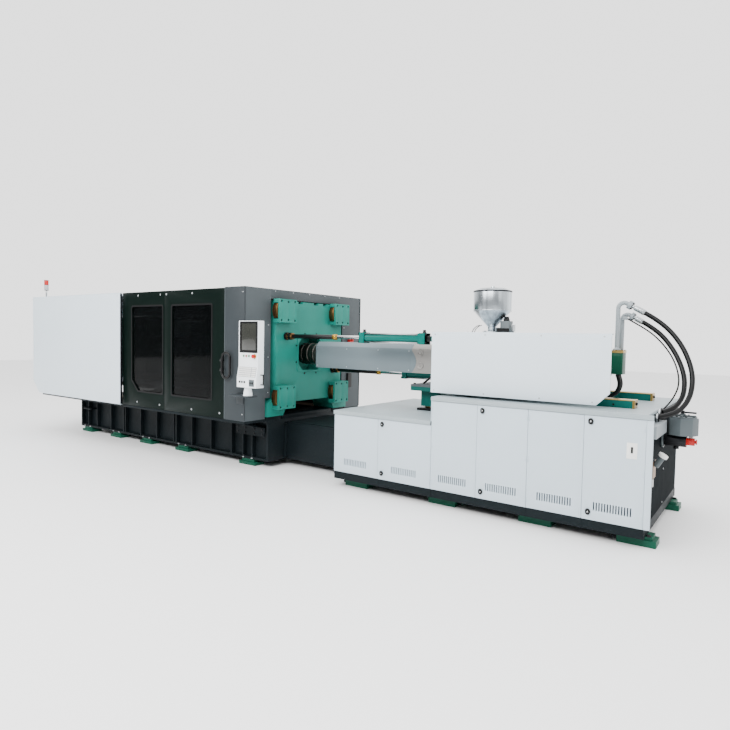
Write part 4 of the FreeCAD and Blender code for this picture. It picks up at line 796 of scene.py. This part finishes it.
loader = Mesh("hopper_gate_details", "carriage")
loader.block(BLACK, (2700, 2838), (-66, -60), (1752, 1792), 3)
loader.lathe(BLACK, (2780, 0, 1868), (0, 0, 1), [(0, 34), (18, 34), (22, 28), (46, 26), (48, 20)], steps=28)
loader.block(ZINC, (2845, 2868), (-30, 30), (1760, 1830), 2)
loader.done()

motor = Mesh("motor_details", "carriage")
for y in (-58, 58):
    for x in (3845, 3895, 3945):
        motor.cap_screw(BLACKENED, (x, y, 1590), (0, 0, 1), 8, 6)
motor.lathe(TEAL, (3700, 0, AXIS_Z), (1, 0, 0), [(0, 118), (4, 124), (34, 124), (38, 118)], steps=48)
motor.block(DEEP_GREEN, (3850, 3940), (-74, -70), (1390, 1540), 3)
motor.done()

pipes = Mesh("pipe_flange_bolts", "carriage")
across_up = Vector((math.sin(SLOPE), 0, math.cos(SLOPE)))
for ferrule, back in ((FERRULE_A, 130), (FERRULE_B, 92)):
    centre = Vector(ferrule) - LEAD * back
    for side in (-1, 1):
        for level in (-1, 1):
            spot = centre + Vector((0, side * 25, 0)) + across_up * level * 25
            pipes.cap_screw(BLACKENED, spot, LEAD, 7, 7)
    for band in (0.25, 0.5, 0.75):
        start = Vector(ferrule) - LEAD * 90 * band
        pipes.lathe(ZINC, start, LEAD, [(0, 25), (1, 27), (9, 27), (10, 25)], steps=32)
pipes.lathe(PIPE_GREY, (3886, 0, 1588), (0, 0, 1),
            [(0, 34), (16, 34), (18, 31), (18, 22), (30, 21)], steps=32)
pipes.done()

# ---------------------------------------------------------------- base details
LOCKED_DOORS = ((2, 1792.5, (240, 760)), (4, 2917.5, (240, 1004)), (6, 3890.5, (240, 1004)))
for number, x, levels in LOCKED_DOORS:
    locks = Mesh(f"cabinet_lock_{number}", f"cabinet_door_{number}")
    for z in levels:
        locks.outline(BLACK, rounded(x - 20, x + 20, z - 27, z + 27, 19), "y", -864, -860, 1)
        locks.lathe(BLACK, (x, -863, z), (0, -1, 0), [(0, 13), (3, 13), (4, 11), (4, 6), (3, 5)], steps=24)
        locks.lathe(CHROME, (x, -866, z), (0, -1, 0), [(0, 6), (1, 5.5), (1, 1.5), (0.4, 1)], steps=20)
    locks.done()
for number in range(1, 7):
    door_low, door_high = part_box(f"cabinet_door_{number}")
    low, high = to_machine(door_low), to_machine(door_high)
    edges = Mesh(f"cabinet_door_{number}_hinges", f"cabinet_door_{number}")
    side_x = low.x + 9 if number % 2 else high.x - 9
    for z in (low.z + 70, (low.z + high.z) / 2, high.z - 70):
        edges.lathe(CABINET, (side_x, BASE_Y + 1, z - 26), (0, 0, 1),
                    [(0, 4), (1, 5), (51, 5), (52, 4)], steps=14)
    edges.done()

# the recessed plinth under the doors is dark enamel that also stands in for the shade under the doors
plinth = Mesh("base_plinth_trim", "machine")
plinth.block(BED, (1149, 4323), (-846, -834), (88, 170), 2)
plinth.block(BED, (1149, 4323), (834, 846), (88, 170), 2)
for x in (1745, 2377, 2869, 3354, 3837):
    plinth.block(BED, (x - 4, x + 4), (-848, -840), (88, 170), 1)
plinth.done()

feet = Mesh("base_foot_bolts", "machine")
for start in (1230, 2300, 3250, 4100):
    for side in (-1, 1):
        for along in (60, 240):
            feet.hexagon(BLACKENED, (start + along, side * 715, 84), (0, 0, 1), 20, 14)
feet.done()

tops = Mesh("base_top_bolts", "machine")
for x in (1230, 1600, 2300):
    for y in (-780, -420, 420, 780):
        tops.cap_screw(ZINC, (x, y, 852), (0, 0, 1), 9, 4)
for x in (2460, 3000, 3540, 4080):
    for y in (-780, 780):
        tops.cap_screw(ZINC, (x, y, 1096), (0, 0, 1), 9, 4)
tops.done()

rails = Mesh("rail_details", "machine")
for side in (-1, 1):
    inner = sorted((side * 362, side * 490))
    for x in range(2480, 4130, 150):
        rails.cap_screw(BLACKENED, (x, side * 486, 1122), (0, side, 0), 9, 6)
    rails.block(BRASS, (4136, 4154), inner, (1100, 1170), 2)
    rails.cap_screw(BLACKENED, (4154, side * 426, 1134), (1, 0, 0), 14, 12)
rails.done()

stand = Mesh("pedestal_details", "machine")
for x in (1800, 2100):
    for y in (-225, 225):
        stand.hexagon(BLACKENED, (x, y, 1150), (0, 0, 1), 18, 13)
stand.lathe(BLACK, (1978, -180, 1228), (0.8, 0, 0.6),
            [(0, 10), (6, 20), (20, 24), (34, 20), (40, 8)], steps=24)
for x in (1840, 2060):
    for y in (-150, 150):
        stand.hexagon(ZINC, (x, y, 878), (0, 0, 1), 14, 10)
stand.done()

# ---------------------------------------------------------------- tank end details
tank = Mesh("tank_fitting_details", "machine")
CAN_X, CAN_Y = 4480.0, -150.0
for angle in range(0, 360, 45):
    x = CAN_X + 96 * math.cos(math.radians(angle + 22.5))
    y = CAN_Y + 96 * math.sin(math.radians(angle + 22.5))
    tank.hexagon(BLACKENED, (x, y, 1032), (0, 0, 1), 9, 8)
for angle in (0, 90, 180, 270):
    turn = Matrix.Rotation(math.radians(angle), 3, "Z")
    arm = turn @ Vector((60, 0, 0))
    tank.block(MACHINE_GREY, (CAN_X + arm.x - 45, CAN_X + arm.x + 45), (CAN_Y + arm.y - 8, CAN_Y + arm.y + 8),
               (1031, 1044), 2, turn=turn)
tank.lathe(MACHINE_GREY, (CAN_X, CAN_Y, 862), (0, 0, 1), [(0, 70), (4, 78), (9, 78), (9, 60)], steps=40)
tank.lathe(RED, (4582, CAN_Y, 815), (1, 0, 0), [(0, 14), (8, 14), (8, 24), (16, 24), (17, 18)], steps=28)
tank.lathe(WHITE_PLASTIC, (4551, CAN_Y, 845), (0, 0, 1), [(0, 18), (10, 18), (12, 14), (20, 12)], steps=24)
tank.lathe(MACHINE_GREY, (4326, CAN_Y, 815), (1, 0, 0), [(0, 70), (3, 74), (16, 74), (18, 70)], steps=40)
for angle in range(0, 360, 60):
    y = CAN_Y + 62 * math.cos(math.radians(angle))
    z = 815 + 62 * math.sin(math.radians(angle))
    tank.hexagon(BLACKENED, (4344, y, z), (1, 0, 0), 8, 6)
for y, z, radius in ((-462, 1036, 34), (-350, 1066, 31)):
    tank.hexagon(ZINC, (4322, y, z), (1, 0, 0), radius + 7, 14)
tank.hexagon(BLACKENED, (4321, -246, 1078), (1, 0, 0), 22, 10)
tank.block(TANK_END, (4320, 4324), (-800, 800), (180, 1000), 3)
for y in (-780, 0, 780):
    for z in (210, 520, 830):
        tank.cap_screw(ZINC, (4324, y, z), (1, 0, 0), 8, 4)
tank.done()

# ---------------------------------------------------------------- hoses and cable
HOSE_A = [FERRULE_A, beyond(FERRULE_A, 166), (4437, -50, 1661), (4539, -120, 1428), (4545, -190, 1240),
          (4500, -290, 1120), (4425, -385, 1060), (4336, -448, 1041)]
HOSE_B = [FERRULE_B, beyond(FERRULE_B, 150), (4366, 45, 1605), (4466, -30, 1395), (4478, -95, 1230),
          (4445, -180, 1130), (4390, -265, 1085), (4341, -329, 1071)]
CABLE = [beyond(CABLE_GLAND, 16), beyond(CABLE_GLAND, 146), (4195, 45, 1740), (4300, 28, 1628),
         (4375, 5, 1510), (4420, -28, 1385), (4428, -66, 1280), (4400, -112, 1190), (4364, -172, 1122),
         (4334, -240, 1082)]


def spline(name, points):
    """A smooth curve that takes the route's points as its control points."""
    curve = bpy.data.curves.new(name, "CURVE")
    curve.dimensions = "3D"
    curve.resolution_u = 16
    line = curve.splines.new("NURBS")
    line.points.add(len(points) - 1)
    for knot, spot in zip(line.points, points):
        knot.co = (*at(*spot), 1.0)
    line.order_u = 3
    line.use_endpoint_u = True
    return curve


def follow(curve):
    """The points that a curve with no bevel passes through."""
    item = bpy.data.objects.new("route", curve)
    bpy.context.scene.collection.objects.link(item)
    bpy.context.view_layer.update()
    data = bpy.data.meshes.new_from_object(item)
    path = [vertex.co.copy() for vertex in data.vertices]
    bpy.data.objects.remove(item)
    return path


def hose(name, node, points, radius, crosses=True, material=RUBBER):
    """A hose as a mesh tube along its spline. One that crosses to the carriage stays fixed on no body; the
    others ride on the carriage.
    """
    curve = spline(name, points)
    path = follow(curve)
    curve.bevel_depth = radius * MM
    curve.bevel_resolution = 6
    curve.use_fill_caps = True
    item = bpy.data.objects.new(name, curve)
    bpy.context.scene.collection.objects.link(item)
    bpy.context.view_layer.update()
    data = bpy.data.meshes.new_from_object(item)
    bpy.data.objects.remove(item)
    data.materials.clear()
    data.materials.append(material)
    data.shade_smooth()
    tube = bpy.data.objects.new(name, data)
    bpy.context.scene.collection.objects.link(tube)
    if crosses:
        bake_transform(tube)
    else:
        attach(tube, "carriage")
    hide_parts(node)
    return tube


hose("pressure_hose_upper", "hose_upper", HOSE_A, 21)
hose("pressure_hose_lower", "hose_lower", HOSE_B, 21)
hose("sensor_cable", "signal_cable", CABLE, 7)
for number, side in ((1, -34), (2, 34)):
    motor_route = [(3905, side, 1364), (3930, side, 1300), (3926, side, 1230), (3888, side, 1172),
                   (3826, side, 1142), (3722, side, 1135)]
    hose(f"motor_hose_{number}", "motor_hoses", motor_route, 18, crosses=False)

# ---------------------------------------------------------------- floor, light and camera
FLOOR_SIZE = 60.0
WORLD_DIM = 0.2
WORLD_BRIGHT = 2.3
floor_mesh = bpy.data.meshes.new("floor")
half_floor = FLOOR_SIZE / 2
floor_corners = [(-half_floor, -half_floor, 0), (half_floor, -half_floor, 0),
                 (half_floor, half_floor, 0), (-half_floor, half_floor, 0)]
floor_mesh.from_pydata(floor_corners, [], [(0, 1, 2, 3)])
floor = bpy.data.objects.new("floor", floor_mesh)
bpy.context.scene.collection.objects.link(floor)
floor_look = Look("pale_floor")
floor_look.colour((0.9, 0.9, 0.9, 1.0))
floor_look.rough(0.6)
floor_mesh.materials.append(floor_look.material)

# The studio is bright overhead and behind the machine, and dimmer in front, where the dark doors mirror it.
world = bpy.data.worlds.new("studio")
world.use_nodes = True
sky = world.node_tree
around = sky.nodes.new("ShaderNodeTexCoord")
axes = sky.nodes.new("ShaderNodeSeparateXYZ")
sky.links.new(around.outputs["Generated"], axes.inputs["Vector"])
levels = []
for axis, dark, bright in (("Y", -0.45, 0.2), ("Z", 0.2, 0.8)):
    level = sky.nodes.new("ShaderNodeMapRange")
    level.interpolation_type = "SMOOTHSTEP"
    level.inputs["From Min"].default_value = dark
    level.inputs["From Max"].default_value = bright
    sky.links.new(axes.outputs[axis], level.inputs["Value"])
    levels.append(level.outputs["Result"])
either = sky.nodes.new("ShaderNodeMath")
either.operation = "MAXIMUM"
sky.links.new(levels[0], either.inputs[0])
sky.links.new(levels[1], either.inputs[1])
strength = sky.nodes.new("ShaderNodeMapRange")
strength.inputs["To Min"].default_value = WORLD_DIM
strength.inputs["To Max"].default_value = WORLD_BRIGHT
sky.links.new(either.outputs[0], strength.inputs["Value"])
sky.nodes["Background"].inputs["Color"].default_value = (1.0, 1.0, 1.0, 1.0)
sky.links.new(strength.outputs["Result"], sky.nodes["Background"].inputs["Strength"])
bpy.context.scene.world = world


def area_light(name, spot, target, size, power):
    light = bpy.data.lights.new(name, "AREA")
    light.shape = "RECTANGLE"
    light.size = size[0]
    light.size_y = size[1]
    light.energy = power
    item = bpy.data.objects.new(name, light)
    bpy.context.scene.collection.objects.link(item)
    item.location = spot
    item.rotation_euler = (Vector(target) - Vector(spot)).to_track_quat("-Z", "Y").to_euler()
    return item


area_light("key", (1.0, -9.0, 7.0), (0.0, 0.0, 1.2), (12.0, 4.0), 1750.0)
area_light("top", (0.0, 0.0, 9.0), (0.0, 0.0, 0.0), (14.0, 8.0), 350.0)
area_light("right", (10.0, -2.0, 5.0), (1.5, 0.0, 1.2), (4.0, 4.0), 100.0)

# The camera stands off the machine's injection end, a little over eye height, and looks along it.
CAMERA_SPOT = (5139.0, -5829.0, 1667.0)
CAMERA_YAW = 35.78
CAMERA_PITCH = -2.75
CAMERA_ROLL = 1.07
CAMERA_LENS = 28.30
yaw, pitch, roll = (math.radians(a) for a in (CAMERA_YAW, CAMERA_PITCH, CAMERA_ROLL))
forward = Vector((-math.sin(yaw) * math.cos(pitch), math.cos(yaw) * math.cos(pitch), math.sin(pitch)))
level_right = Vector((math.cos(yaw), math.sin(yaw), 0))
level_up = level_right.cross(forward)
right = math.cos(roll) * level_right + math.sin(roll) * level_up
up = -math.sin(roll) * level_right + math.cos(roll) * level_up
camera_data = bpy.data.cameras.new("camera")
camera_data.lens = CAMERA_LENS
camera_data.sensor_width = 36.0
camera_data.clip_end = 100.0
camera = bpy.data.objects.new("camera", camera_data)
bpy.context.scene.collection.objects.link(camera)
turn = Matrix((right, up, -forward)).transposed().to_4x4()
camera.matrix_world = Matrix.Translation(at(*CAMERA_SPOT)) @ turn
bpy.context.scene.camera = camera
